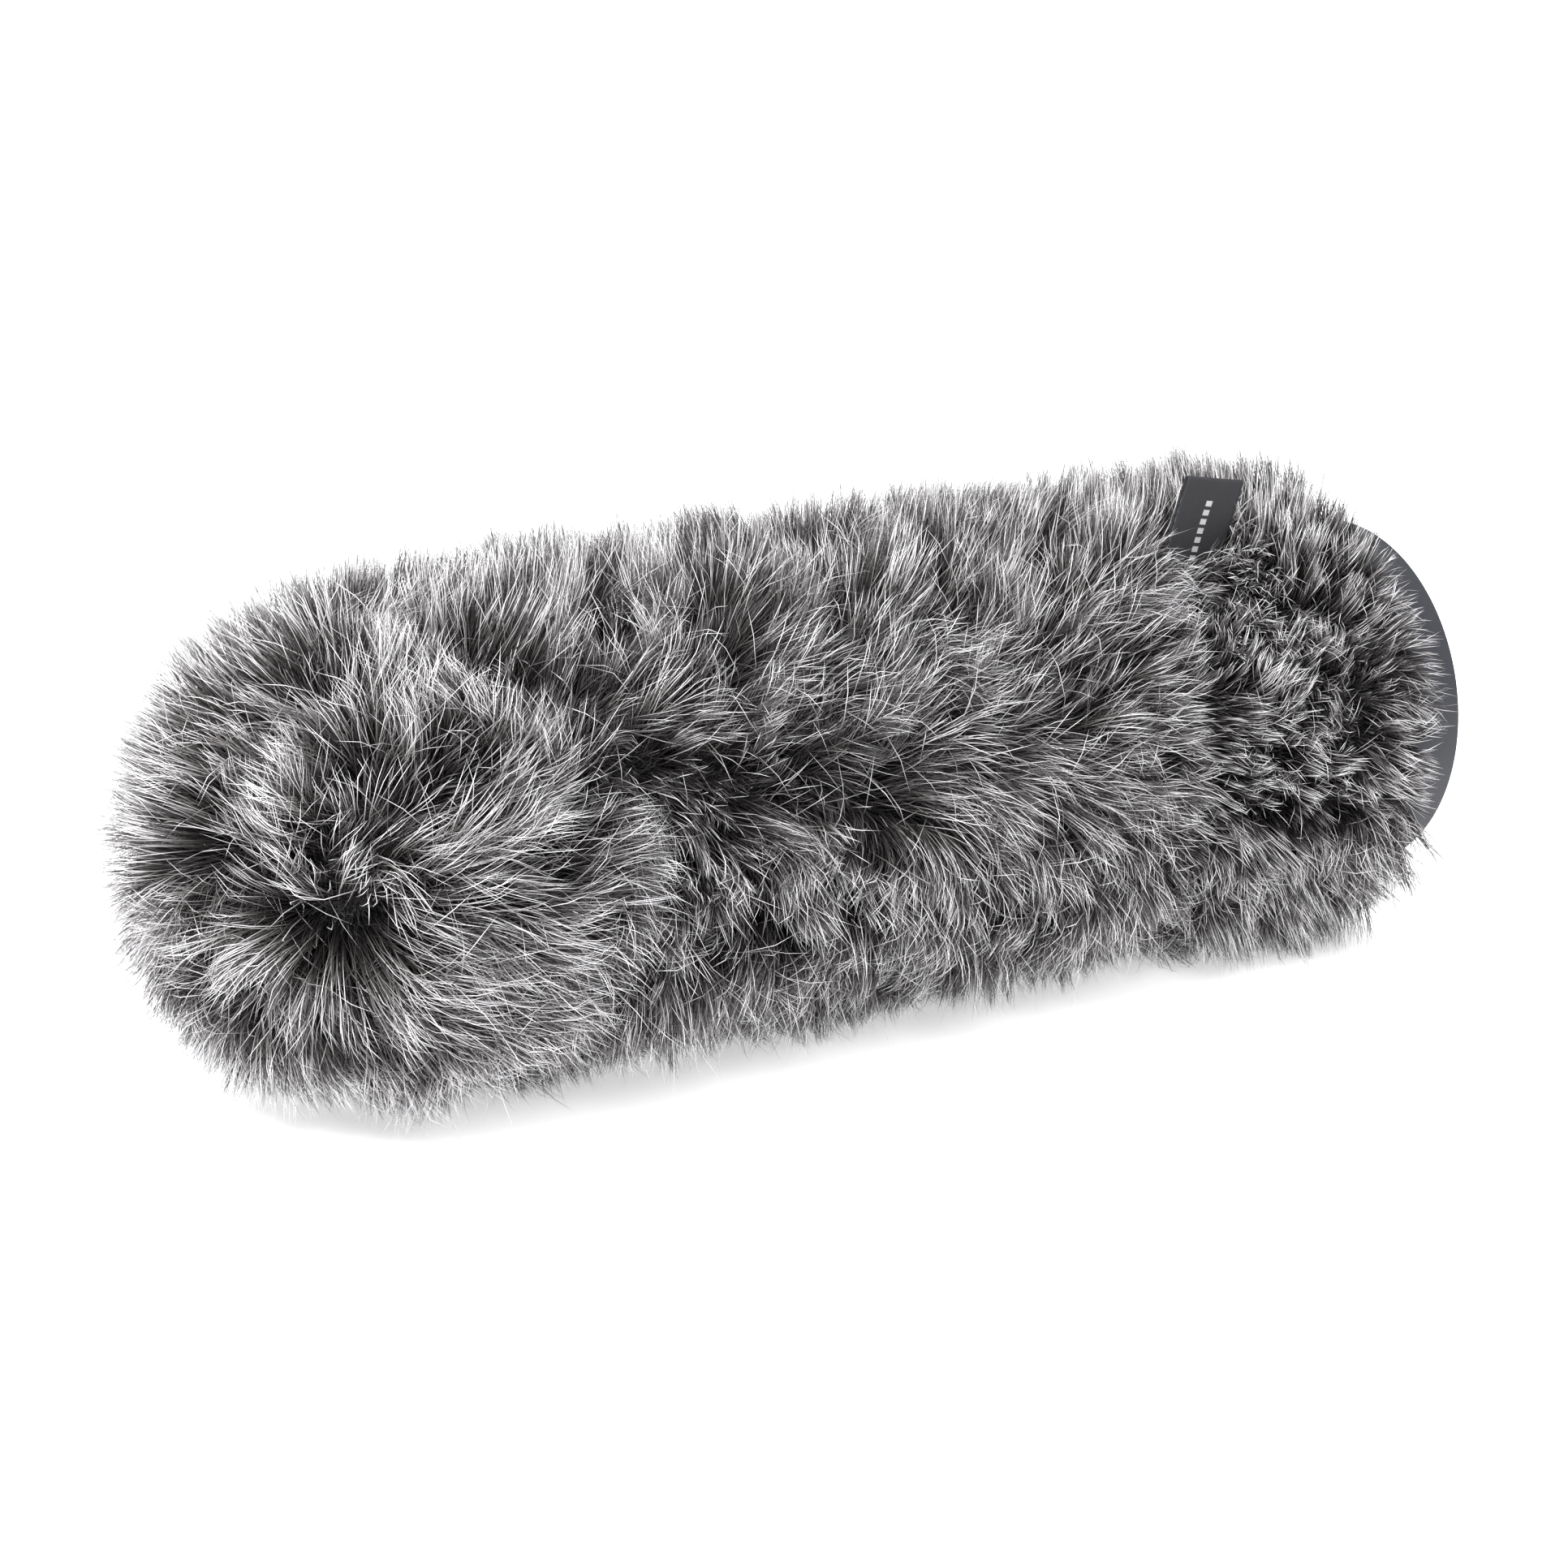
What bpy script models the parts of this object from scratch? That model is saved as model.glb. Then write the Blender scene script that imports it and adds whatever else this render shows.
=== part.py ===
"""Furry slip-on windshield for a long shotgun microphone, lying on its side.

The axis runs along X: the domed nose points to -X and the base, with the microphone's bore, to +X.
The object rests on z = 0, and the middle of its footprint is the origin. Everything is in metres.
"""

import math

import bmesh
import bpy
from mathutils import Matrix, Vector

# Driving dimensions of the whole object.
HALF_LENGTH = 0.139
PILE_RADIUS = 0.0516
AXIS_HEIGHT = 0.0498
SEGMENTS = 48
GAP = 0.0003

# Radii of the layers, from the microphone outwards.
BORE_RIB_RADIUS = 0.0094
BORE_RADIUS = 0.0100
FOAM_BORE_RADIUS = 0.0110
FOAM_RADIUS = 0.0354
SKIRT_RADIUS = 0.0359
TAPE_RADIUS = 0.0363
TAPE_THICKNESS = 0.0006
CLOTH_RADIUS = 0.0372
BASE_RADIUS = 0.0380

# Stations along the axis.
NOSE_SEAM_X = -0.0850
NOSE_DOME_X = -0.0917
FOAM_DOME_X = -0.0890
BAND_SEAM_X = 0.0660
SKIRT_START_X = 0.1030
PILE_END_X = 0.1245
SHOULDER_X = 0.1249
REAR_X = HALF_LENGTH

# The base cup.
CUP_INSIDE_RADIUS = 0.0332
CUP_FLOOR_X = 0.1300
REAR_RECESS_X = 0.1366
REAR_RECESS_RADIUS = 0.0345
GROMMET_HOLE_RADIUS = 0.0160
EDGE_CHAMFER = 0.0005

# The hem: an elastic cord in a folded binding.
HEM_START_X = 0.1160
HEM_END_X = 0.1239
HEM_OUTER_RADIUS = 0.0401
ELASTIC_RADIUS = 0.0009
ELASTIC_RING_RADIUS = 0.0382
ELASTIC_X = 0.1199

# The label: a woven tab that stands in the lengthwise seam.
SEAM_ANGLE = math.radians(65.0)
LABEL_X = 0.0814
LABEL_WIDTH = 0.0160
LABEL_THICKNESS = 0.0012
LABEL_ROOT_RADIUS = 0.0392
LABEL_LENGTH = 0.0216
LABEL_LEAN = math.radians(13.7)
LABEL_SLANT = math.radians(10.9)
LABEL_SWING = math.radians(20.0)

FUR = ("fur", (0.085, 0.078, 0.076), 0.9)
TAPE = ("seam_tape", (0.020, 0.020, 0.022), 0.85)
FOAM = ("foam", (0.030, 0.030, 0.033), 0.95)
BASE = ("base_plastic", (0.035, 0.036, 0.042), 0.55)
RUBBER = ("rubber", (0.018, 0.018, 0.020), 0.7)
LABEL = ("label_cloth", (0.016, 0.016, 0.018), 0.8)


def clear_scene():
    for obj in list(bpy.data.objects):
        bpy.data.objects.remove(obj, do_unlink=True)


def give_material(obj, finish):
    name, colour, roughness = finish
    material = bpy.data.materials.new(f"{name}_{obj.name}")
    material.use_nodes = True
    shader = material.node_tree.nodes["Principled BSDF"]
    shader.inputs["Base Color"].default_value = (*colour, 1.0)
    shader.inputs["Roughness"].default_value = roughness
    shader.inputs["Metallic"].default_value = 0.0
    material.diffuse_color = (*colour, 1.0)
    obj.data.materials.append(material)


def add_object(name, mesh, finish, parent=None, origin=Vector((0.0, 0.0, 0.0))):
    """Links a mesh given in world space as an object whose origin is at the stated point."""
    mesh.transform(Matrix.Translation(-origin))
    mesh.shade_smooth()
    mesh.set_sharp_from_angle(angle=math.radians(35.0))
    obj = bpy.data.objects.new(name, mesh)
    bpy.context.scene.collection.objects.link(obj)
    obj.location = origin
    if parent is not None:
        obj.parent = parent
        obj.location = origin - parent.matrix_world.translation
    give_material(obj, finish)
    return obj


def add_empty(name, location, parent=None):
    empty = bpy.data.objects.new(name, None)
    empty.empty_display_size = 0.02
    bpy.context.scene.collection.objects.link(empty)
    empty.location = location
    if parent is not None:
        empty.parent = parent
        empty.location = location - parent.matrix_world.translation
    bpy.context.view_layer.update()
    return empty


def on_ring(x, radius, angle):
    """A point round the axis: angle 0 faces -Y and angle 90 degrees is the top."""
    return Vector((x, -radius * math.cos(angle), AXIS_HEIGHT + radius * math.sin(angle)))


def turned_mesh(name, profile, closed=True, flat_bottom=False):
    """Turns an outline of (x, radius) points round the axis.

    A closed outline gives a ring. An open one starts and ends on the axis, where it gets a single point.
    """
    work = bmesh.new()
    rings = []
    for x, radius in profile:
        if radius == 0.0:
            rings.append([work.verts.new((x, 0.0, AXIS_HEIGHT))])
            continue
        ring = []
        for step in range(SEGMENTS):
            point = on_ring(x, radius, math.tau * step / SEGMENTS)
            if flat_bottom:
                point.z = max(point.z, 0.0)
            ring.append(work.verts.new(point))
        rings.append(ring)
    pairs = list(zip(rings, rings[1:]))
    if closed:
        pairs.append((rings[-1], rings[0]))
    for first, second in pairs:
        for step in range(SEGMENTS):
            after = (step + 1) % SEGMENTS
            if len(first) == 1:
                work.faces.new((first[0], second[after], second[step]))
            elif len(second) == 1:
                work.faces.new((first[step], first[after], second[0]))
            else:
                work.faces.new((first[step], first[after], second[after], second[step]))
    bmesh.ops.triangulate(work, faces=[face for face in work.faces if len(face.verts) > 3])
    bmesh.ops.recalc_face_normals(work, faces=work.faces)
    mesh = bpy.data.meshes.new(name)
    work.to_mesh(mesh)
    work.free()
    return mesh


def arc(centre_x, centre_radius, size_x, size_radius, start, end, steps):
    """Points of an ellipse's arc in the (x, radius) plane, from one angle to another in degrees."""
    points = []
    for step in range(steps + 1):
        angle = math.radians(start + (end - start) * step / steps)
        x = centre_x + size_x * math.cos(angle)
        points.append((x, max(centre_radius + size_radius * math.sin(angle), 0.0)))
    return points


def dome(centre_x, radius, length, steps):
    """A dome's outline from its rim to its tip at -X, with the tip exactly on the axis."""
    points = arc(centre_x, 0.0, length, radius, 90.0, 180.0, steps)
    points[-1] = (centre_x - length, 0.0)
    return points


def strip_mesh(name, start_x, end_x, inner, outer, middle_angle, width, steps=4):
    """A curved strip of tape that runs along the axis."""
    half_angle = 0.5 * width / inner
    work = bmesh.new()
    sections = []
    for x in (start_x, end_x):
        section = []
        for radius, order in ((inner, range(steps + 1)), (outer, range(steps, -1, -1))):
            for step in order:
                angle = middle_angle - half_angle + 2.0 * half_angle * step / steps
                section.append(work.verts.new(on_ring(x, radius, angle)))
        sections.append(section)
    count = len(sections[0])
    for step in range(count):
        after = (step + 1) % count
        first, second = sections
        work.faces.new((first[step], first[after], second[after], second[step]))
    for section in sections:
        for step in range(steps):
            low = (section[step], section[step + 1], section[count - 2 - step], section[count - 1 - step])
            work.faces.new(low)
    bmesh.ops.triangulate(work, faces=work.faces[:])
    bmesh.ops.recalc_face_normals(work, faces=work.faces)
    mesh = bpy.data.meshes.new(name)
    work.to_mesh(mesh)
    work.free()
    return mesh


def make_base_cup():
    """The moulded cup that closes the rear and carries the grommet."""
    edge = EDGE_CHAMFER
    profile = [
        (SKIRT_START_X, SKIRT_RADIUS - edge),
        (SKIRT_START_X + edge, SKIRT_RADIUS),
        (SHOULDER_X, SKIRT_RADIUS),
        (SHOULDER_X, BASE_RADIUS - edge),
        (SHOULDER_X + edge, BASE_RADIUS),
        (REAR_X - edge, BASE_RADIUS),
        (REAR_X, BASE_RADIUS - edge),
        (REAR_X, REAR_RECESS_RADIUS),
        (REAR_RECESS_X, REAR_RECESS_RADIUS - edge),
        (REAR_RECESS_X, GROMMET_HOLE_RADIUS),
        (CUP_FLOOR_X, GROMMET_HOLE_RADIUS),
        (CUP_FLOOR_X, CUP_INSIDE_RADIUS),
        (SKIRT_START_X, CUP_INSIDE_RADIUS),
    ]
    return add_object("base_cup", turned_mesh("base_cup", profile), BASE)


def make_grommet():
    """The rubber grommet that grips the microphone's body with three inner ribs."""
    neck = GROMMET_HOLE_RADIUS - GAP
    front_x = CUP_FLOOR_X - 0.0037
    lip_x = REAR_RECESS_X + GAP
    lip_radius = 0.0195
    back_x = REAR_X - 0.0004
    profile = [
        (front_x, neck),
        (lip_x, neck),
        (lip_x, lip_radius),
        (back_x - 0.0008, lip_radius),
        (back_x, lip_radius - 0.0012),
        (back_x, BORE_RADIUS + 0.0018),
    ]
    rib_pitch = 0.0036
    for rib in range(3):
        crest_x = back_x - 0.0024 - rib * rib_pitch
        profile.append((crest_x + 0.0012, BORE_RADIUS))
        profile.append((crest_x, BORE_RIB_RADIUS))
        profile.append((crest_x - 0.0012, BORE_RADIUS))
    profile.append((front_x, BORE_RADIUS))
    return add_object("bore_grommet", turned_mesh("bore_grommet", profile), RUBBER)


def make_grommet_ring():
    """The snap ring inside the cup that holds the grommet in its hole."""
    back_x = CUP_FLOOR_X - GAP
    front_x = back_x - 0.0028
    outer = 0.0215
    profile = [
        (front_x, GROMMET_HOLE_RADIUS),
        (front_x, outer - EDGE_CHAMFER),
        (front_x + EDGE_CHAMFER, outer),
        (back_x, outer),
        (back_x, GROMMET_HOLE_RADIUS),
    ]
    return add_object("grommet_ring", turned_mesh("grommet_ring", profile), BASE)


def make_foam_body():
    """The open-cell foam tube: a stub at its rear sits in the base cup."""
    stub_radius = CUP_INSIDE_RADIUS - GAP
    stub_end_x = CUP_FLOOR_X - 0.0043
    profile = [
        (FOAM_DOME_X + GAP, FOAM_BORE_RADIUS),
        (FOAM_DOME_X + GAP, FOAM_RADIUS),
        (SKIRT_START_X - GAP, FOAM_RADIUS),
        (SKIRT_START_X - GAP, stub_radius),
        (stub_end_x, stub_radius),
        (stub_end_x, FOAM_BORE_RADIUS),
    ]
    return add_object("foam_body", turned_mesh("foam_body", profile), FOAM)


def make_foam_nose():
    """The domed foam plug glued to the front of the tube."""
    profile = [(FOAM_DOME_X, 0.0)]
    profile += dome(FOAM_DOME_X, FOAM_RADIUS, FOAM_RADIUS, 9)
    return add_object("foam_nose", turned_mesh("foam_nose", profile, closed=False), FOAM)


def make_fur_nose_cap(cover):
    """The domed panel of long pile over the nose."""
    front_inside_x = FOAM_DOME_X
    outside = [(NOSE_SEAM_X - GAP, PILE_RADIUS)]
    outside += dome(NOSE_DOME_X, PILE_RADIUS, HALF_LENGTH + NOSE_DOME_X, 9)
    inside = [(NOSE_SEAM_X - GAP, CLOTH_RADIUS)]
    inside += dome(front_inside_x, CLOTH_RADIUS, CLOTH_RADIUS, 8)
    profile = outside[::-1] + inside
    mesh = turned_mesh("fur_nose_cap", profile, closed=False, flat_bottom=True)
    return add_object("fur_nose_cap", mesh, FUR, cover)


def make_fur_sleeve(cover):
    """The main tube of long pile."""
    profile = [
        (NOSE_SEAM_X, CLOTH_RADIUS),
        (NOSE_SEAM_X, PILE_RADIUS),
        (BAND_SEAM_X, PILE_RADIUS),
        (BAND_SEAM_X, CLOTH_RADIUS),
    ]
    return add_object("fur_sleeve", turned_mesh("fur_sleeve", profile, flat_bottom=True), FUR, cover)


def label_pocket_cutter():
    """A wedge that leaves room in the pile for the label to swing."""
    half_angle = LABEL_SWING + math.radians(4.0)
    apex_half = 0.5 * LABEL_THICKNESS + GAP
    reach = 0.022
    start_x = LABEL_X - 0.5 * LABEL_WIDTH - 0.0020
    end_x = LABEL_X + 0.5 * LABEL_WIDTH + LABEL_LENGTH * math.tan(LABEL_SLANT) + 0.0010
    radial, across = label_directions()
    root = on_ring(0.0, LABEL_ROOT_RADIUS, SEAM_ANGLE) - radial * 0.0006
    root.x = 0.0
    spread = apex_half + reach * math.tan(half_angle)
    outline = [
        root - across * apex_half,
        root + across * apex_half,
        root + radial * reach + across * spread,
        root + radial * reach - across * spread,
    ]
    work = bmesh.new()
    sections = []
    for x in (start_x, end_x):
        sections.append([work.verts.new((x, point.y, point.z)) for point in outline])
    first, second = sections
    work.faces.new(first)
    work.faces.new(second)
    for step in range(4):
        after = (step + 1) % 4
        work.faces.new((first[step], first[after], second[after], second[step]))
    bmesh.ops.recalc_face_normals(work, faces=work.faces)
    mesh = bpy.data.meshes.new("label_pocket_cutter")
    work.to_mesh(mesh)
    work.free()
    cutter = bpy.data.objects.new("label_pocket_cutter", mesh)
    bpy.context.scene.collection.objects.link(cutter)
    cutter.hide_render = True
    cutter.display_type = "WIRE"
    return cutter


def make_fur_rear_band(cover):
    """The shorter panel of pile behind the sleeve, with room for the hem and for the label."""
    round_length = 0.0130
    round_height = 0.0085
    channel_radius = HEM_OUTER_RADIUS + GAP
    profile = [
        (BAND_SEAM_X + GAP, CLOTH_RADIUS),
        (BAND_SEAM_X + GAP, PILE_RADIUS),
    ]
    profile += arc(PILE_END_X - round_length, PILE_RADIUS - round_height, round_length, round_height, 90.0, 0.0, 4)
    profile += [
        (PILE_END_X, channel_radius),
        (HEM_START_X - GAP, channel_radius),
        (HEM_START_X - GAP, CLOTH_RADIUS),
    ]
    mesh = turned_mesh("fur_rear_band", profile, flat_bottom=True)
    band = add_object("fur_rear_band", mesh, FUR, cover)
    pocket = band.modifiers.new("label_pocket", "BOOLEAN")
    pocket.operation = "DIFFERENCE"
    pocket.solver = "EXACT"
    pocket.object = label_pocket_cutter()
    return band


def make_ring_tape(name, middle_x, cover):
    """A tape sewn inside the cover over a seam that runs round it."""
    half_width = 0.0065
    outer = TAPE_RADIUS + TAPE_THICKNESS
    profile = [
        (middle_x - half_width, TAPE_RADIUS),
        (middle_x - half_width, outer),
        (middle_x + half_width, outer),
        (middle_x + half_width, TAPE_RADIUS),
    ]
    return add_object(name, turned_mesh(name, profile), TAPE, cover)


def make_long_tape(name, start_x, end_x, cover):
    """A tape sewn inside the cover along its lengthwise seam."""
    outer = TAPE_RADIUS + TAPE_THICKNESS
    mesh = strip_mesh(name, start_x, end_x, TAPE_RADIUS, outer, SEAM_ANGLE, 0.0120)
    return add_object(name, mesh, TAPE, cover)


def make_hem_binding(cover):
    """The folded tape round the rear edge, open at the front, where the pile's cloth is sewn in."""
    wall = TAPE_THICKNESS
    profile = [
        (HEM_START_X, TAPE_RADIUS),
        (HEM_END_X, TAPE_RADIUS),
        (HEM_END_X, HEM_OUTER_RADIUS),
        (HEM_START_X, HEM_OUTER_RADIUS),
        (HEM_START_X, HEM_OUTER_RADIUS - wall),
        (HEM_END_X - wall, HEM_OUTER_RADIUS - wall),
        (HEM_END_X - wall, TAPE_RADIUS + wall),
        (HEM_START_X, TAPE_RADIUS + wall),
    ]
    return add_object("hem_binding", turned_mesh("hem_binding", profile), TAPE, cover)


def make_hem_elastic(cover):
    """The elastic cord inside the hem."""
    sides = 8
    profile = []
    for step in range(sides):
        angle = math.tau * step / sides
        x = ELASTIC_X + ELASTIC_RADIUS * math.cos(angle)
        profile.append((x, ELASTIC_RING_RADIUS + ELASTIC_RADIUS * math.sin(angle)))
    return add_object("hem_elastic", turned_mesh("hem_elastic", profile), RUBBER, cover)


def label_directions():
    """The label's own upward direction, before its slant, and the direction across its thickness."""
    radial = Vector((0.0, -math.cos(SEAM_ANGLE), math.sin(SEAM_ANGLE)))
    onward = Vector((0.0, math.sin(SEAM_ANGLE), math.cos(SEAM_ANGLE)))
    up = math.cos(LABEL_LEAN) * radial + math.sin(LABEL_LEAN) * onward
    across = math.cos(LABEL_LEAN) * onward - math.sin(LABEL_LEAN) * radial
    return up, across


def make_label(swing):
    """The folded tab: its fold is the round tip, and its foot is sewn into the seam."""
    up, across = label_directions()
    along = Vector((1.0, 0.0, 0.0))
    foot = on_ring(LABEL_X, LABEL_ROOT_RADIUS, SEAM_ANGLE)
    slanted_up = math.cos(LABEL_SLANT) * up + math.sin(LABEL_SLANT) * along
    half = 0.5 * LABEL_THICKNESS
    outline = [(0.0, -half)]
    tip_steps = 6
    for step in range(tip_steps + 1):
        angle = math.pi * step / tip_steps
        outline.append((LABEL_LENGTH - half + half * math.sin(angle), -half * math.cos(angle)))
    outline.append((0.0, half))
    work = bmesh.new()
    sections = []
    for side in (-0.5, 0.5):
        section = []
        for height, thick in outline:
            point = foot + along * (side * LABEL_WIDTH) + slanted_up * height + across * thick
            section.append(work.verts.new(point))
        sections.append(section)
    first, second = sections
    work.faces.new(first)
    work.faces.new(second)
    for step in range(len(outline)):
        after = (step + 1) % len(outline)
        work.faces.new((first[step], first[after], second[after], second[step]))
    bmesh.ops.recalc_face_normals(work, faces=work.faces)
    mesh = bpy.data.meshes.new("label_tab")
    work.to_mesh(mesh)
    work.free()
    return add_object("label_tab", mesh, LABEL, swing, swing.matrix_world.translation.copy())


def make_core():
    make_base_cup()
    make_grommet()
    make_grommet_ring()
    make_foam_body()
    make_foam_nose()


def make_cover(cover):
    tape_inset = 0.0070
    make_fur_nose_cap(cover)
    make_fur_sleeve(cover)
    make_fur_rear_band(cover)
    make_ring_tape("nose_seam_tape", NOSE_SEAM_X, cover)
    make_ring_tape("band_seam_tape", BAND_SEAM_X, cover)
    make_long_tape("sleeve_seam_tape", NOSE_SEAM_X + tape_inset, BAND_SEAM_X - tape_inset, cover)
    make_long_tape("rear_seam_tape", BAND_SEAM_X + tape_inset, HEM_START_X - GAP, cover)
    make_hem_binding(cover)
    make_hem_elastic(cover)


def main():
    clear_scene()
    make_core()
    cover = add_empty("cover_slide", Vector((0.0, 0.0, AXIS_HEIGHT)))
    make_cover(cover)
    swing = add_empty("label_swing", on_ring(LABEL_X, LABEL_ROOT_RADIUS, SEAM_ANGLE), cover)
    make_label(swing)


main()
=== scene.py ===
"""The looks of the furry windshield: long pile, woven label, moulded base and foam core.

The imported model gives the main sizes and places, and the finer ones are named here. The axis runs along X with
the nose at -X, and angles round it start at -Y (0 degrees) and go over the top (90 degrees). Lengths are in
metres, except in the two lists of the pile's lay.
"""

import math

import bpy
import numpy as np
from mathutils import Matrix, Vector
from mathutils.kdtree import KDTree


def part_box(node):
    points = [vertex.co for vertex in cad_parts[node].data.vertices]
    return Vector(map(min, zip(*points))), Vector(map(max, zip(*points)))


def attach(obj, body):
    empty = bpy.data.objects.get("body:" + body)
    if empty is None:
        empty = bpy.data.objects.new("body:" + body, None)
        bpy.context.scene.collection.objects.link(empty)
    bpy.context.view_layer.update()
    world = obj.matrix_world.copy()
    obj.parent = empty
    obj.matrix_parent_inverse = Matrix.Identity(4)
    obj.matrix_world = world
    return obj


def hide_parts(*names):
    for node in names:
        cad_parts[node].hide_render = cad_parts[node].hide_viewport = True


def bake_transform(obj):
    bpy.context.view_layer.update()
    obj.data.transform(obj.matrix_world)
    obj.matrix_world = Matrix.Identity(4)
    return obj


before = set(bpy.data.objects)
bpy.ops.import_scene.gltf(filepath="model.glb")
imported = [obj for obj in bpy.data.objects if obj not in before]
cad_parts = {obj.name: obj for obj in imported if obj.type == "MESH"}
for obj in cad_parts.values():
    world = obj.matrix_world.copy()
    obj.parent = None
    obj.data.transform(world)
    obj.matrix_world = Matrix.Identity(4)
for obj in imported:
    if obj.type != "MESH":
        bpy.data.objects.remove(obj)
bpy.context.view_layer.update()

MM = 0.001
TAU = math.tau

# Places read from the frame.
base_low, base_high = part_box("base_cup")
sleeve_low, sleeve_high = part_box("fur_sleeve")
foam_low, foam_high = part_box("foam_body")
hem_low, hem_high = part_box("hem_binding")
grommet_low, grommet_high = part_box("bore_grommet")

AXIS_Z = 0.5 * (base_low.z + base_high.z)
BASE_RADIUS = 0.5 * (base_high.z - base_low.z)
PILE_RADIUS = 0.5 * (sleeve_high.y - sleeve_low.y)
TIP_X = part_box("fur_nose_cap")[0].x
NOSE_SEAM_X = sleeve_low.x
BAND_SEAM_X = sleeve_high.x
PILE_END_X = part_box("fur_rear_band")[1].x
REAR_X = base_high.x
FOAM_RADIUS = 0.5 * (foam_high.z - foam_low.z)
FOAM_DOME_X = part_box("foam_nose")[1].x

# The hole in the base that the grommet sits in.
GROMMET_HOLE = 16.0 * MM

# The ground cloth under the pile: a tube with a round end, in the space of the fur's CAD solids.
CLOTH_OUTSIDE = 38.0 * MM
CLOTH_INSIDE = 37.2 * MM
DOME_LENGTH = 0.5 * math.pi * CLOTH_OUTSIDE
CLOTH_END_X = PILE_END_X - 0.5 * MM
SKIN_LENGTH = DOME_LENGTH + CLOTH_END_X - FOAM_DOME_X

# The tapes over the seams inside it.
TAPE_INSIDE = 36.3 * MM
TAPE_THICKNESS = 0.6 * MM
TAPE_WIDTH = 12.0 * MM

# The label: where its foot stands in the lengthwise seam, its size, how it leans out of the seam and slants
# along it, and a little more than it bends to either side.
LABEL_X = 81.4 * MM
LABEL_ANGLE = math.radians(65.0)
LABEL_ROOT_RADIUS = 40.0 * MM
LABEL_LENGTH = 20.9 * MM
LABEL_WIDTH = 14.6 * MM
LABEL_LEAN = math.radians(13.7)
LABEL_SLANT = math.radians(9.5)
LABEL_SWING = math.radians(21.0)

# The photograph's viewing angle.
CAMERA_AZIMUTH = math.radians(-31.58)
CAMERA_ELEVATION = math.radians(15.93)
CAMERA_DISTANCE = 0.6771
CAMERA_TARGET = Vector((-0.0046, 0.0, 0.0501))
CAMERA_LENS = 78.26

# The pile: how many long and short hairs, the seed of its scatter, and how far hairs may stand proud.
GUARD_COUNT = 155000
UNDER_COUNT = 52000
FUR_SEED = 11
FUR_PROUD = 9.5 * MM


# ---------------------------------------------------------------- helpers

def link(obj):
    bpy.context.scene.collection.objects.link(obj)
    return obj


def mesh_object(name, points, faces, smooth=True):
    """An object from points (n, 3) and faces, whose rows may be triangles or quads."""
    mesh = bpy.data.meshes.new(name)
    mesh.from_pydata([tuple(p) for p in points], [], [tuple(f) for f in faces])
    mesh.update()
    if smooth:
        mesh.shade_smooth()
    return link(bpy.data.objects.new(name, mesh))


def round_axis(x, radius, angle):
    """Points round the windshield's axis, for arrays of x, radius and angle."""
    x, radius, angle = np.broadcast_arrays(x, radius, angle)
    return np.stack([x, -radius * np.cos(angle), AXIS_Z + radius * np.sin(angle)], -1)


def filleted(outline, radius):
    """A closed outline of (x, radius) points with its corners rounded."""
    steps = 4
    rounded = []
    count = len(outline)
    for index in range(count):
        before = Vector(outline[index - 1])
        corner = Vector(outline[index])
        after = Vector(outline[(index + 1) % count])
        into, out = (before - corner), (after - corner)
        reach = min(radius, 0.45 * into.length, 0.45 * out.length)
        start = corner + into.normalized() * reach
        end = corner + out.normalized() * reach
        for step in range(steps + 1):
            t = step / steps
            rounded.append(tuple((1 - t) ** 2 * start + 2 * t * (1 - t) * corner + t * t * end))
    return rounded


def ring_faces(rows, segments, closed):
    """Quads between rings of points. A closed set joins its last ring to its first."""
    faces = []
    for row in range(rows if closed else rows - 1):
        first, second = row * segments, ((row + 1) % rows) * segments
        for step in range(segments):
            after = (step + 1) % segments
            faces.append((first + step, first + after, second + after, second + step))
    return faces


def end_caps(rows, segments):
    """The two faces that close the first and the last of a set of rings."""
    last = (rows - 1) * segments
    return [tuple(reversed(range(segments))), tuple(range(last, last + segments))]


def closed_object(name, points, faces):
    """An object from a closed mesh, with every face turned outwards."""
    obj = mesh_object(name, points, faces)
    mesh = obj.data
    mesh.calc_loop_triangles()
    points = np.array([v.co for v in mesh.vertices])
    corners = points[np.array([t.vertices for t in mesh.loop_triangles])]
    volume = np.einsum("ij,ij->i", corners[:, 0], np.cross(corners[:, 1], corners[:, 2])).sum()
    if volume < 0:
        mesh.flip_normals()
    return obj


def turned(name, outline, segments):
    """A solid turned round the axis from a closed outline of (x, radius) points."""
    outline = np.array(outline)
    angles = np.arange(segments) * TAU / segments
    rings = round_axis(outline[:, None, 0], outline[:, None, 1], angles[None, :])
    return closed_object(name, rings.reshape(-1, 3), ring_faces(len(outline), segments, True))


def outside_radius(low, high):
    """The outside radius of a part that is round about the axis."""
    return 0.5 * (high.z - low.z)


def dress(obj, material, body, slot, *nodes):
    """Gives a piece its material, its body and the CAD nodes that it replaces. The slot is not used."""
    obj.data.materials.append(material)
    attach(obj, body)
    if nodes:
        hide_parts(*nodes)


# ---------------------------------------------------------------- materials

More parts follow.
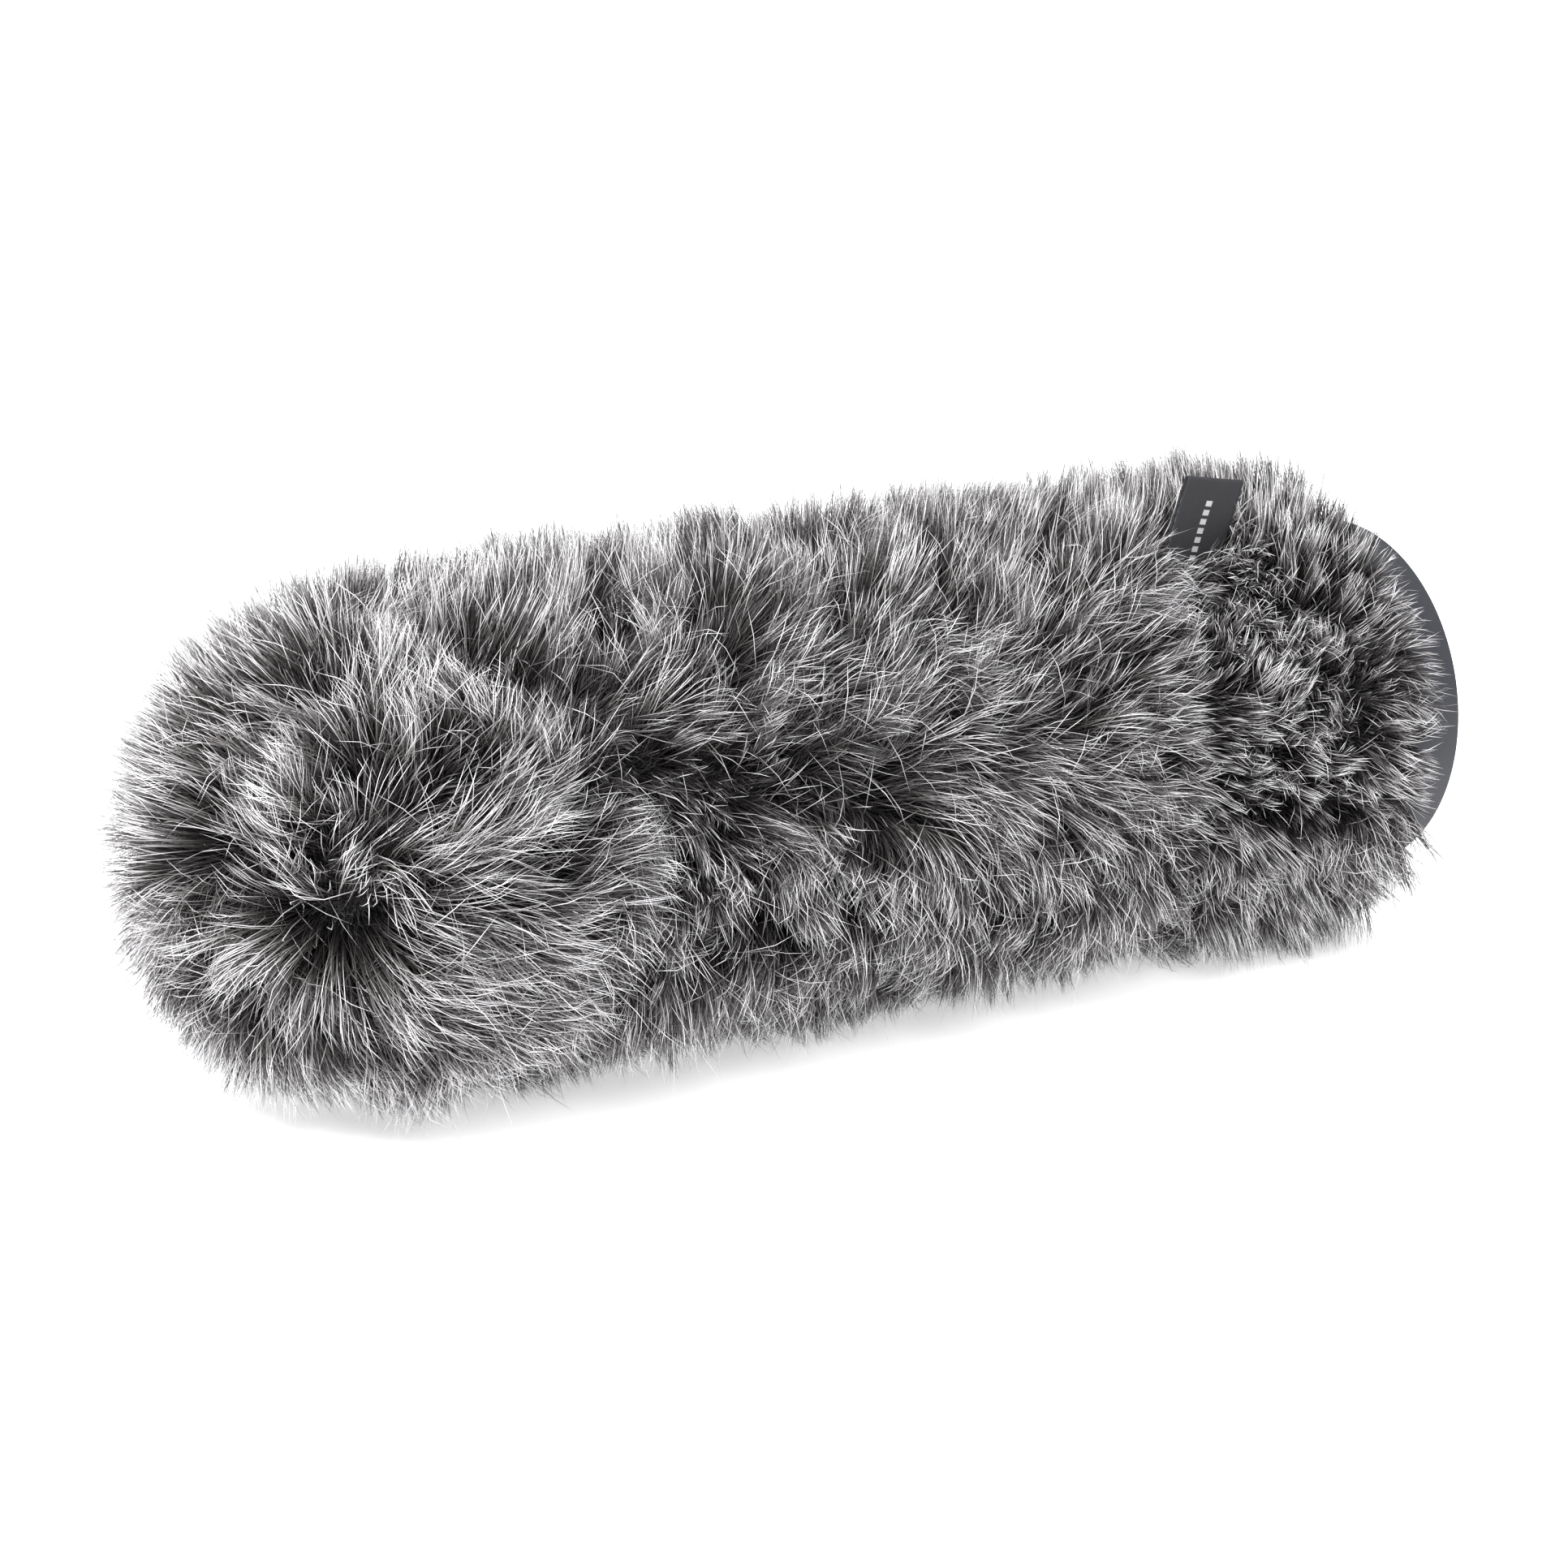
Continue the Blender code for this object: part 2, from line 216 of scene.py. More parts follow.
class Nodes:
    """A short way to build a material's node tree."""

    def __init__(self, name):
        self.material = bpy.data.materials.new(name)
        self.material.use_nodes = True
        self.tree = self.material.node_tree
        self.shader = self.tree.nodes["Principled BSDF"]

    def feed(self, socket, value):
        """Joins an input to another node's output, or sets it to a number or a colour."""
        if isinstance(value, bpy.types.NodeSocket):
            self.tree.links.new(value, socket)
        elif isinstance(value, tuple):
            socket.default_value = (*value, 1.0)
        else:
            socket.default_value = value

    def add(self, kind, **values):
        """A node with values for its inputs and its settings."""
        node = self.tree.nodes.new("ShaderNode" + kind)
        for key, value in values.items():
            if key in node.inputs:
                self.feed(node.inputs[key], value)
            else:
                setattr(node, key, value)
        return node

    def texture(self, kind, **values):
        """A texture at the point's own coordinates in metres, which don't slide when a body moves."""
        return self.add(kind, Vector=self.add("TexCoord").outputs["Object"], **values)

    def noise(self, scale, **values):
        return self.texture("TexNoise", Scale=scale, **values).outputs["Fac"]

    def map_place(self):
        """The u and v of the piece's map."""
        split = self.add("SeparateXYZ", Vector=self.add("UVMap", uv_map="OFBake").outputs["UV"])
        return split.outputs["X"], split.outputs["Y"]

    def ramp(self, factor, stops):
        node = self.add("ValToRGB", Fac=factor)
        while len(node.color_ramp.elements) < len(stops):
            node.color_ramp.elements.new(0.5)
        for element, (place, colour) in zip(node.color_ramp.elements, stops):
            element.position = place
            element.color = (*colour, 1.0)
        return node.outputs["Color"]

    def math(self, operation, *values, clamp=False):
        node = self.add("Math", operation=operation, use_clamp=clamp)
        for socket, value in zip(node.inputs, values):
            self.feed(socket, value)
        return node.outputs["Value"]

    def mix(self, factor, first, second):
        node = self.add("Mix", data_type="RGBA")
        for place, value in ((0, factor), (6, first), (7, second)):
            self.feed(node.inputs[place], value)
        return node.outputs[2]

    def surface(self, colour, roughness, specular=0.5, **others):
        values = {"Base Color": colour, "Roughness": roughness, "Specular IOR Level": specular, **others}
        for key, value in values.items():
            self.feed(self.shader.inputs[key], value)

    def bump(self, height, strength, distance):
        node = self.add("Bump", Strength=strength, Distance=distance, Height=height)
        self.feed(self.shader.inputs["Normal"], node.outputs["Normal"])


def fur_material():
    """Colour along each hair: dark at the root, brown-grey in the middle, silver at the tip.

    The map's u says how light this hair is, and v runs from root to tip.
    """
    nodes = Nodes("fur_pile")
    tone, along = nodes.map_place()
    dark = nodes.ramp(along, [
        (0.00, (0.004, 0.004, 0.004)),
        (0.55, (0.008, 0.007, 0.007)),
        (0.80, (0.020, 0.018, 0.018)),
        (1.00, (0.050, 0.047, 0.047)),
    ])
    middle = nodes.ramp(along, [
        (0.00, (0.005, 0.005, 0.005)),
        (0.45, (0.022, 0.020, 0.019)),
        (0.70, (0.105, 0.098, 0.097)),
        (0.90, (0.360, 0.352, 0.357)),
        (1.00, (0.560, 0.556, 0.568)),
    ])
    light = nodes.ramp(along, [
        (0.00, (0.006, 0.006, 0.006)),
        (0.32, (0.026, 0.024, 0.023)),
        (0.52, (0.230, 0.218, 0.215)),
        (0.70, (0.660, 0.652, 0.662)),
        (1.00, (0.900, 0.900, 0.910)),
    ])
    lower = nodes.math("MULTIPLY", tone, 2.0, clamp=True)
    upper = nodes.math("MULTIPLY_ADD", tone, 2.0, -1.0, clamp=True)
    nodes.surface(nodes.mix(upper, nodes.mix(lower, dark, middle), light), 0.5, 0.14)
    return nodes.material


def knit_material(name, colour, pitch):
    """A knitted or woven cloth: ribs both ways, painted paler on the raised ribs and darker between them as
    painted light and shade, with a little fuzz in its colour.
    """
    nodes = Nodes(name)
    ribs = nodes.texture("TexWave", Scale=0.5 / pitch, Distortion=1.2, **{"Detail Scale": 2.0})
    across = nodes.texture("TexWave", Scale=0.5 / pitch, Distortion=1.2, bands_direction="Z")
    height = nodes.math("MULTIPLY", ribs.outputs["Fac"], across.outputs["Fac"])
    # A paler copy of the cloth's colour, for a painted highlight on the raised ribs; the grooves keep the darker
    # colour as painted shade.
    pale = tuple(min(1.0, 2.2 * c + 0.01) for c in colour)
    painted_rib_shade = nodes.math("MULTIPLY", height, nodes.noise(900.0))
    nodes.surface(nodes.mix(painted_rib_shade, colour, pale), 0.85, **{"Sheen Weight": 0.25})
    nodes.bump(height, 0.6, 0.3 * MM)
    return nodes.material


def plastic_material():
    """Matt moulded plastic, bluish black, with fine spark grain in its gloss."""
    nodes = Nodes("base_matte_plastic")
    grain = nodes.noise(2600.0, Detail=3.0)
    cloud = nodes.noise(55.0, Detail=4.0)
    rough = nodes.add("MapRange", Value=grain, **{"To Min": 0.50, "To Max": 0.64})
    colour = nodes.mix(cloud, (0.015, 0.016, 0.020), (0.024, 0.025, 0.030))
    nodes.surface(colour, rough.outputs["Result"], 0.30)
    nodes.bump(grain, 0.25, 0.08 * MM)
    return nodes.material


def rubber_material(name):
    """Soft black rubber with a dusty bloom."""
    nodes = Nodes(name)
    bloom = nodes.noise(160.0, Detail=6.0, Roughness=0.7)
    nodes.surface(nodes.mix(bloom, (0.012, 0.012, 0.013), (0.034, 0.034, 0.036)), 0.68)
    nodes.bump(bloom, 0.15, 0.1 * MM)
    return nodes.material


def foam_material():
    """Black open-cell foam: pits with walls between them, painted darker in the pits and paler on the walls as
    painted shade.
    """
    nodes = Nodes("open_cell_foam")
    cells = nodes.texture("TexVoronoi", Scale=900.0).outputs["Distance"]
    wall_height_and_shade = nodes.math("MULTIPLY", cells, nodes.noise(220.0, Detail=3.0))
    # Painted shade: darker down in the pits and paler on the walls, from the same height as the bump.
    colour = nodes.ramp(wall_height_and_shade, [(0.06, (0.002, 0.002, 0.002)), (0.60, (0.034, 0.034, 0.037))])
    nodes.surface(colour, 0.95, 0.15)
    nodes.bump(wall_height_and_shade, 0.9, 0.6 * MM)
    return nodes.material


def label_material():
    """Black woven tape with a plain row of pale ticks down the middle of its front."""
    wefts, warps, tick_count = 130.0, 90.0, 22.0
    nodes = Nodes("label_woven")
    across, along = nodes.map_place()
    weft = nodes.math("SINE", nodes.math("MULTIPLY", along, TAU * wefts))
    warp = nodes.math("SINE", nodes.math("MULTIPLY", across, TAU * warps))
    weave = nodes.math("MULTIPLY_ADD", nodes.math("MULTIPLY", weft, warp), 0.5, 0.5)
    # The ground and the ticks are painted darker between the threads and paler where the weave stands up, from
    # the same height as the bump: painted shade.
    ground = nodes.mix(weave, (0.008, 0.008, 0.009), (0.030, 0.030, 0.034))
    tick = nodes.mix(weave, (0.16, 0.16, 0.165), (0.46, 0.46, 0.47))
    middle = nodes.math("GREATER_THAN", nodes.math("PINGPONG", across, 0.25), 0.226)
    rhythm = nodes.math("SINE", nodes.math("MULTIPLY", along, TAU * tick_count))
    ticks = nodes.math("MULTIPLY", middle, nodes.math("GREATER_THAN", rhythm, -0.35))
    above_foot = nodes.math("GREATER_THAN", along, 0.06)
    front = nodes.math("MULTIPLY", above_foot, nodes.math("LESS_THAN", along, 0.40))
    nodes.surface(nodes.mix(nodes.math("MULTIPLY", ticks, front), ground, tick), 0.8, 0.25)
    nodes.bump(weave, 0.5, 0.12 * MM)
    return nodes.material


def floor_material():
    """A white sweep that is lit from within, so that shadows on it stay faint."""
    nodes = Nodes("studio_floor")
    glow = {"Emission Color": (1.0, 1.0, 1.0), "Emission Strength": 0.52}
    nodes.surface((0.90, 0.90, 0.905), 0.6, 0.2, **glow)
    return nodes.material


# ---------------------------------------------------------------- camera, floor and light

def view_direction(azimuth, elevation):
    """From the object to a camera at this azimuth and elevation."""
    return Vector((
        math.sin(azimuth) * math.cos(elevation),
        -math.cos(azimuth) * math.cos(elevation),
        math.sin(elevation),
    ))


def make_camera():
    back = view_direction(CAMERA_AZIMUTH, CAMERA_ELEVATION)
    data = bpy.data.cameras.new("studio_camera")
    data.lens = CAMERA_LENS
    data.sensor_width = 36.0
    data.clip_start = 0.01
    camera = link(bpy.data.objects.new("studio_camera", data))
    camera.location = CAMERA_TARGET + back * CAMERA_DISTANCE
    camera.rotation_mode = "QUATERNION"
    camera.rotation_quaternion = (-back).to_track_quat("-Z", "Y")
    bpy.context.scene.camera = camera


def make_light(name, azimuth, elevation, distance, size, energy):
    back = view_direction(math.radians(azimuth), math.radians(elevation))
    data = bpy.data.lights.new(name, "AREA")
    data.shape = "SQUARE"
    data.size = size
    data.energy = energy
    light = link(bpy.data.objects.new(name, data))
    light.location = Vector((0.0, 0.0, AXIS_Z)) + back * distance
    light.rotation_mode = "QUATERNION"
    light.rotation_quaternion = back.to_track_quat("Z", "Y")


def make_studio():
    half = 6.0
    corners = [(-half, -half, 0.0), (half, -half, 0.0), (half, half, 0.0), (-half, half, 0.0)]
    floor = mesh_object("studio_floor", corners, [(0, 1, 2, 3)], smooth=False)
    floor.data.materials.append(floor_material())
    make_light("key_light", -64.0, 48.0, 1.4, 0.6, 38.0)
    make_light("front_light", -14.0, 36.0, 1.5, 0.6, 14.0)
    make_light("top_light", 170.0, 72.0, 1.4, 0.8, 6.5)
    world = bpy.data.worlds.new("studio_world")
    world.use_nodes = True
    background = world.node_tree.nodes["Background"]
    background.inputs["Color"].default_value = (0.99, 0.99, 1.0, 1.0)
    background.inputs["Strength"].default_value = 1.0
    bpy.context.scene.world = world
    bpy.context.scene.view_settings.view_transform = "Standard"


# ---------------------------------------------------------------- the core: base, grommet, foam

def make_base():
    """The moulded cup, with a recessed rear face and a raised seat round the grommet."""
    rim_inside = 34.5 * MM
    recess_x = 136.6 * MM
    groove_x = recess_x - 0.5 * MM
    seat_radius = 22.5 * MM
    floor_x = 130.0 * MM
    wall_inside = 33.2 * MM
    skirt = 35.9 * MM
    shoulder_x = 124.9 * MM
    outline = [
        (base_low.x, skirt),
        (shoulder_x, skirt),
        (shoulder_x, BASE_RADIUS),
        (REAR_X, BASE_RADIUS),
        (REAR_X, rim_inside),
        (recess_x, rim_inside),
        (recess_x, seat_radius + 5.0 * MM),
        (groove_x, seat_radius + 4.4 * MM),
        (groove_x, seat_radius + 1.2 * MM),
        (recess_x, seat_radius + 0.6 * MM),
        (recess_x, GROMMET_HOLE),
        (floor_x, GROMMET_HOLE),
        (floor_x, wall_inside),
        (base_low.x, wall_inside),
    ]
    base = turned("base_shell", filleted(outline, 0.45 * MM), 192)
    dress(base, plastic_material(), "core", "base_plastic", "base_cup")


def make_grommet():
    """The rubber grommet, with a soft lip and three gripping ribs inside."""
    neck = 15.7 * MM
    lip = 19.5 * MM
    bore = 10.0 * MM
    rib = 9.4 * MM
    rib_pitch = 3.6 * MM
    lip_x = 136.9 * MM
    back_x = grommet_high.x
    outline = [
        (grommet_low.x, neck),
        (lip_x, neck),
        (lip_x, lip),
        (back_x - 0.7 * MM, lip),
        (back_x, lip - 1.4 * MM),
        (back_x, bore + 1.8 * MM),
    ]
    for index in range(3):
        crest_x = back_x - 2.4 * MM - index * rib_pitch
        outline += [(crest_x + 1.2 * MM, bore), (crest_x, rib), (crest_x - 1.2 * MM, bore)]
    outline.append((grommet_low.x, bore))
    grommet = turned("rubber_grommet", filleted(outline, 0.35 * MM), 128)
    dress(grommet, rubber_material("grommet_rubber"), "core", "grommet_rubber", "bore_grommet")


def make_snap_ring():
    """The ring that holds the grommet in the base."""
    low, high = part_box("grommet_ring")
    outside = outside_radius(low, high)
    outline = [(low.x, GROMMET_HOLE), (low.x, outside), (high.x, outside), (high.x, GROMMET_HOLE)]
    ring = turned("snap_ring", filleted(outline, 0.4 * MM), 128)
    dress(ring, bpy.data.materials["base_matte_plastic"], "core", "base_plastic", "grommet_ring")


def pitted(outline, segments, depth, rng):
    """Rings of points along an outline, with cell-sized pits pushed in along the radius."""
    outline = np.array(outline)
    rows = len(outline)
    noise = rng.random((rows, segments))
    noise = (noise + np.roll(noise, 1, 1) + np.roll(noise, 1, 0) + np.roll(noise, -1, 1)) / 4.0
    pits = depth * np.clip((noise - 0.42) / 0.4, 0.0, 1.0)
    angles = np.arange(segments) * TAU / segments
    radius = np.maximum(outline[:, None, 1] - pits, 0.05 * MM)
    return round_axis(outline[:, None, 0], radius, angles[None, :]).reshape(-1, 3)


def open_outline(corners, step):
    """Points every step or so along the corners' straight runs."""
    points = []
    for (x0, r0), (x1, r1) in zip(corners, corners[1:]):
        count = max(1, round(math.hypot(x1 - x0, r1 - r0) / step))
        for index in range(count):
            t = index / count
            points.append((x0 + (x1 - x0) * t, r0 + (r1 - r0) * t))
    points.append(corners[-1])
    return points


def dome_outline(radius, rows, least):
    """Points from the tip of a dome of this radius to its edge, none nearer to the axis than the least."""
    outline = []
    for row in range(rows + 1):
        angle = 0.5 * math.pi * row / rows
        outline.append((FOAM_DOME_X - radius * math.cos(angle), max(radius * math.sin(angle), least)))
    return outline


def make_foam():
    """The foam tube and its domed plug, both with an open-cell surface."""
    rng = np.random.default_rng(5)
    material = foam_material()
    segments = 200
    cell = 1.1 * MM
    pit = 0.35 * MM
    bore = 11.0 * MM
    stub = 32.9 * MM
    skirt_x = 102.7 * MM
    front = foam_low.x
    corners = [
        (front, bore),
        (front, FOAM_RADIUS),
        (skirt_x, FOAM_RADIUS),
        (skirt_x, stub),
        (foam_high.x, stub),
        (foam_high.x, bore),
        (front, bore),
    ]
    outline = open_outline(corners, cell)[:-1]
    points = pitted(outline, segments, pit, rng)
    body = closed_object("foam_tube", points, ring_faces(len(outline), segments, True))
    dress(body, material, "core", "foam", "foam_body")

    middle = 0.3 * MM
    outline = open_outline([(FOAM_DOME_X, middle), (FOAM_DOME_X, FOAM_RADIUS)], cell)[:-1]
    outline += dome_outline(FOAM_RADIUS, 52, middle)[::-1]
    points = pitted(outline, segments, pit, rng)
    faces = ring_faces(len(outline), segments, False) + end_caps(len(outline), segments)
    nose = closed_object("foam_dome", points, faces)
    dress(nose, material, "core", "foam", "foam_nose")


# ---------------------------------------------------------------- the cover's cloth, tapes and hem

def make_nose_cloth(cloth, gap):
    """The domed panel, with a short tube behind its dome."""
    edge_x = NOSE_SEAM_X - gap
    outside, inside = (dome_outline(radius, 26, 0.2 * MM) for radius in (CLOTH_OUTSIDE, CLOTH_INSIDE))
    outline = outside + [(edge_x, CLOTH_OUTSIDE), (edge_x, CLOTH_INSIDE)] + inside[::-1]
    nose = turned("nose_cloth", outline, 96)
    dress(nose, cloth, "cover", "fur")


def make_ground_cloth():
    """The three panels of knitted cloth that the pile stands on."""
    cloth = knit_material("ground_cloth", (0.022, 0.020, 0.020), 0.9 * MM)
    gap = 0.3 * MM
    make_nose_cloth(cloth, gap)
    for name, start, end in (
        ("sleeve_cloth", NOSE_SEAM_X, BAND_SEAM_X),
        ("band_cloth", BAND_SEAM_X + gap, hem_low.x - gap),
    ):
        outline = open_outline([(start, CLOTH_OUTSIDE), (end, CLOTH_OUTSIDE)], 6.0 * MM)
        outline += open_outline([(end, CLOTH_INSIDE), (start, CLOTH_INSIDE)], 6.0 * MM)
        panel = turned(name, outline, 128)
        dress(panel, cloth, "cover", "fur")


def round_tape(name, low, high):
    """A ring of tape inside a seam that runs round the cover."""
    outside = outside_radius(low, high)
    inside = outside - TAPE_THICKNESS
    outline = [(low.x, inside), (low.x, outside), (high.x, outside), (high.x, inside)]
    return turned(name, filleted(outline, 0.2 * MM), 128), TAU * outside


def long_tape(name, low, high):
    """A strip of tape along the lengthwise seam."""
    stations = max(2, round((high.x - low.x) / (3.0 * MM))) + 1
    points_across = 13
    half_angle = 0.5 * TAPE_WIDTH / TAPE_INSIDE
    angles = LABEL_ANGLE + np.linspace(-half_angle, half_angle, points_across)
    section = [(TAPE_INSIDE, a) for a in angles]
    section += [(TAPE_INSIDE + TAPE_THICKNESS, a) for a in angles[::-1]]
    points = [round_axis(x, r, a) for x in np.linspace(low.x, high.x, stations) for r, a in section]
    faces = ring_faces(stations, len(section), False) + end_caps(stations, len(section))
    return closed_object(name, points, faces), TAPE_WIDTH


def make_tapes():
    """Woven copies of the seam tapes."""
    weave = knit_material("seam_tape_weave", (0.016, 0.016, 0.018), 0.5 * MM)
    for node, shape in (
        ("nose_seam_tape", round_tape),
        ("band_seam_tape", round_tape),
        ("sleeve_seam_tape", long_tape),
        ("rear_seam_tape", long_tape),
    ):
        low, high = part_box(node)
        piece, width = shape(node.replace("_tape", "_cloth_tape"), low, high)
        dress(piece, weave, "cover", "seam_tape", node)


def make_hem():
    """The folded binding round the rear edge."""
    inside = TAPE_INSIDE
    outside = outside_radius(hem_low, hem_high)
    outline = [
        (hem_low.x, inside),
        (hem_high.x, inside),
        (hem_high.x, outside),
        (hem_low.x, outside),
        (hem_low.x, outside - TAPE_THICKNESS),
        (hem_high.x - TAPE_THICKNESS, outside - TAPE_THICKNESS),
        (hem_high.x - TAPE_THICKNESS, inside + TAPE_THICKNESS),
        (hem_low.x, inside + TAPE_THICKNESS),
    ]
    binding = turned("hem_tape", filleted(outline, 0.25 * MM), 160)
    dress(binding, bpy.data.materials["seam_tape_weave"], "cover", "seam_tape", "hem_binding")


def make_elastic():
    """The elastic cord in the hem."""
    low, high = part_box("hem_elastic")
    cord_radius = 0.5 * (high.x - low.x)
    ring_radius = outside_radius(low, high) - cord_radius
    middle_x = 0.5 * (high.x + low.x)
    sides = 14
    outline = []
    for step in range(sides):
        angle = TAU * step / sides
        radius = ring_radius + cord_radius * math.sin(angle)
        outline.append((middle_x + cord_radius * math.cos(angle), radius))
    elastic = turned("elastic_cord", outline, 160)
    dress(elastic, rubber_material("elastic_rubber"), "cover", "hem_elastic", "hem_elastic")


# ---------------------------------------------------------------- the label

def label_axes():
    """The label's foot and its directions: along the seam, up, and across its thickness."""
    radial = Vector((0.0, -math.cos(LABEL_ANGLE), math.sin(LABEL_ANGLE)))
    onward = Vector((0.0, math.sin(LABEL_ANGLE), math.cos(LABEL_ANGLE)))
    upright = math.cos(LABEL_LEAN) * radial + math.sin(LABEL_LEAN) * onward
    across = math.cos(LABEL_LEAN) * onward - math.sin(LABEL_LEAN) * radial
    rearward = Vector((1.0, 0.0, 0.0))
    along = math.cos(LABEL_SLANT) * rearward - math.sin(LABEL_SLANT) * upright
    up = math.cos(LABEL_SLANT) * upright + math.sin(LABEL_SLANT) * rearward
    foot = Vector(round_axis(LABEL_X, LABEL_ROOT_RADIUS, LABEL_ANGLE))
    return foot, along, up, across


def folded_path(height, gap, rows):
    """Up one side of a fold and down the other, as (height, thickness) points."""
    path = [(height * step / rows, -gap) for step in range(rows + 1)]
    turns = 9
    for step in range(1, turns):
        angle = math.pi * step / turns
        path.append((height + gap * math.sin(angle), -gap * math.cos(angle)))
    path += [(height * step / rows, gap) for step in range(rows, -1, -1)]
    return np.array(path)


def make_label():
    """A strip of woven tape folded double, its fold at the tip, with a slight bow."""
    foot, along, up, across = label_axes()
    ply_gap = 0.38 * MM
    half_cloth = 0.16 * MM
    bow_depth = 0.28 * MM
    centre = folded_path(LABEL_LENGTH - ply_gap - half_cloth, ply_gap, 26)
    tangent = np.gradient(centre, axis=0)
    tangent /= np.linalg.norm(tangent, axis=1)[:, None]
    normal = np.stack([tangent[:, 1], -tangent[:, 0]], 1)
    travel = np.concatenate([[0.0], np.cumsum(np.linalg.norm(np.diff(centre, axis=0), axis=1))])
    rows = len(centre)
    sides = 20
    ring = [(step / sides, 0) for step in range(sides + 1)]
    ring += [(step / sides, 1) for step in range(sides, -1, -1)]
    points, maps = [], []
    for row in range(rows):
        v = 0.02 + 0.96 * travel[row] / travel[-1]
        for share, side in ring:
            height, thick = centre[row] + (1 - 2 * side) * half_cloth * normal[row]
            wide = share - 0.5
            rise = height / LABEL_LENGTH
            bow = bow_depth * rise * math.sin(3.0 * wide + 4.5 * rise)
            points.append(foot + along * (wide * LABEL_WIDTH) + up * height + across * (thick + bow))
            maps.append((0.02 + 0.46 * share + 0.5 * side, v))
    count = len(ring)
    faces = ring_faces(rows, count, False)
    last = (rows - 1) * count
    for step in range(sides):
        cap = (step, count - 1 - step, count - 2 - step, step + 1)
        faces += [cap, tuple(last + corner for corner in cap[::-1])]
    label = closed_object("label_cloth", points, faces)
    layer = label.data.uv_layers.new(name="OFBake")
    loops = [maps[loop.vertex_index] for loop in label.data.loops]
    layer.data.foreach_set("uv", np.array(loops, np.float32).ravel())
    dress(label, label_material(), "label", "label_cloth", "label_tab")


# ---------------------------------------------------------------- the pile's lay

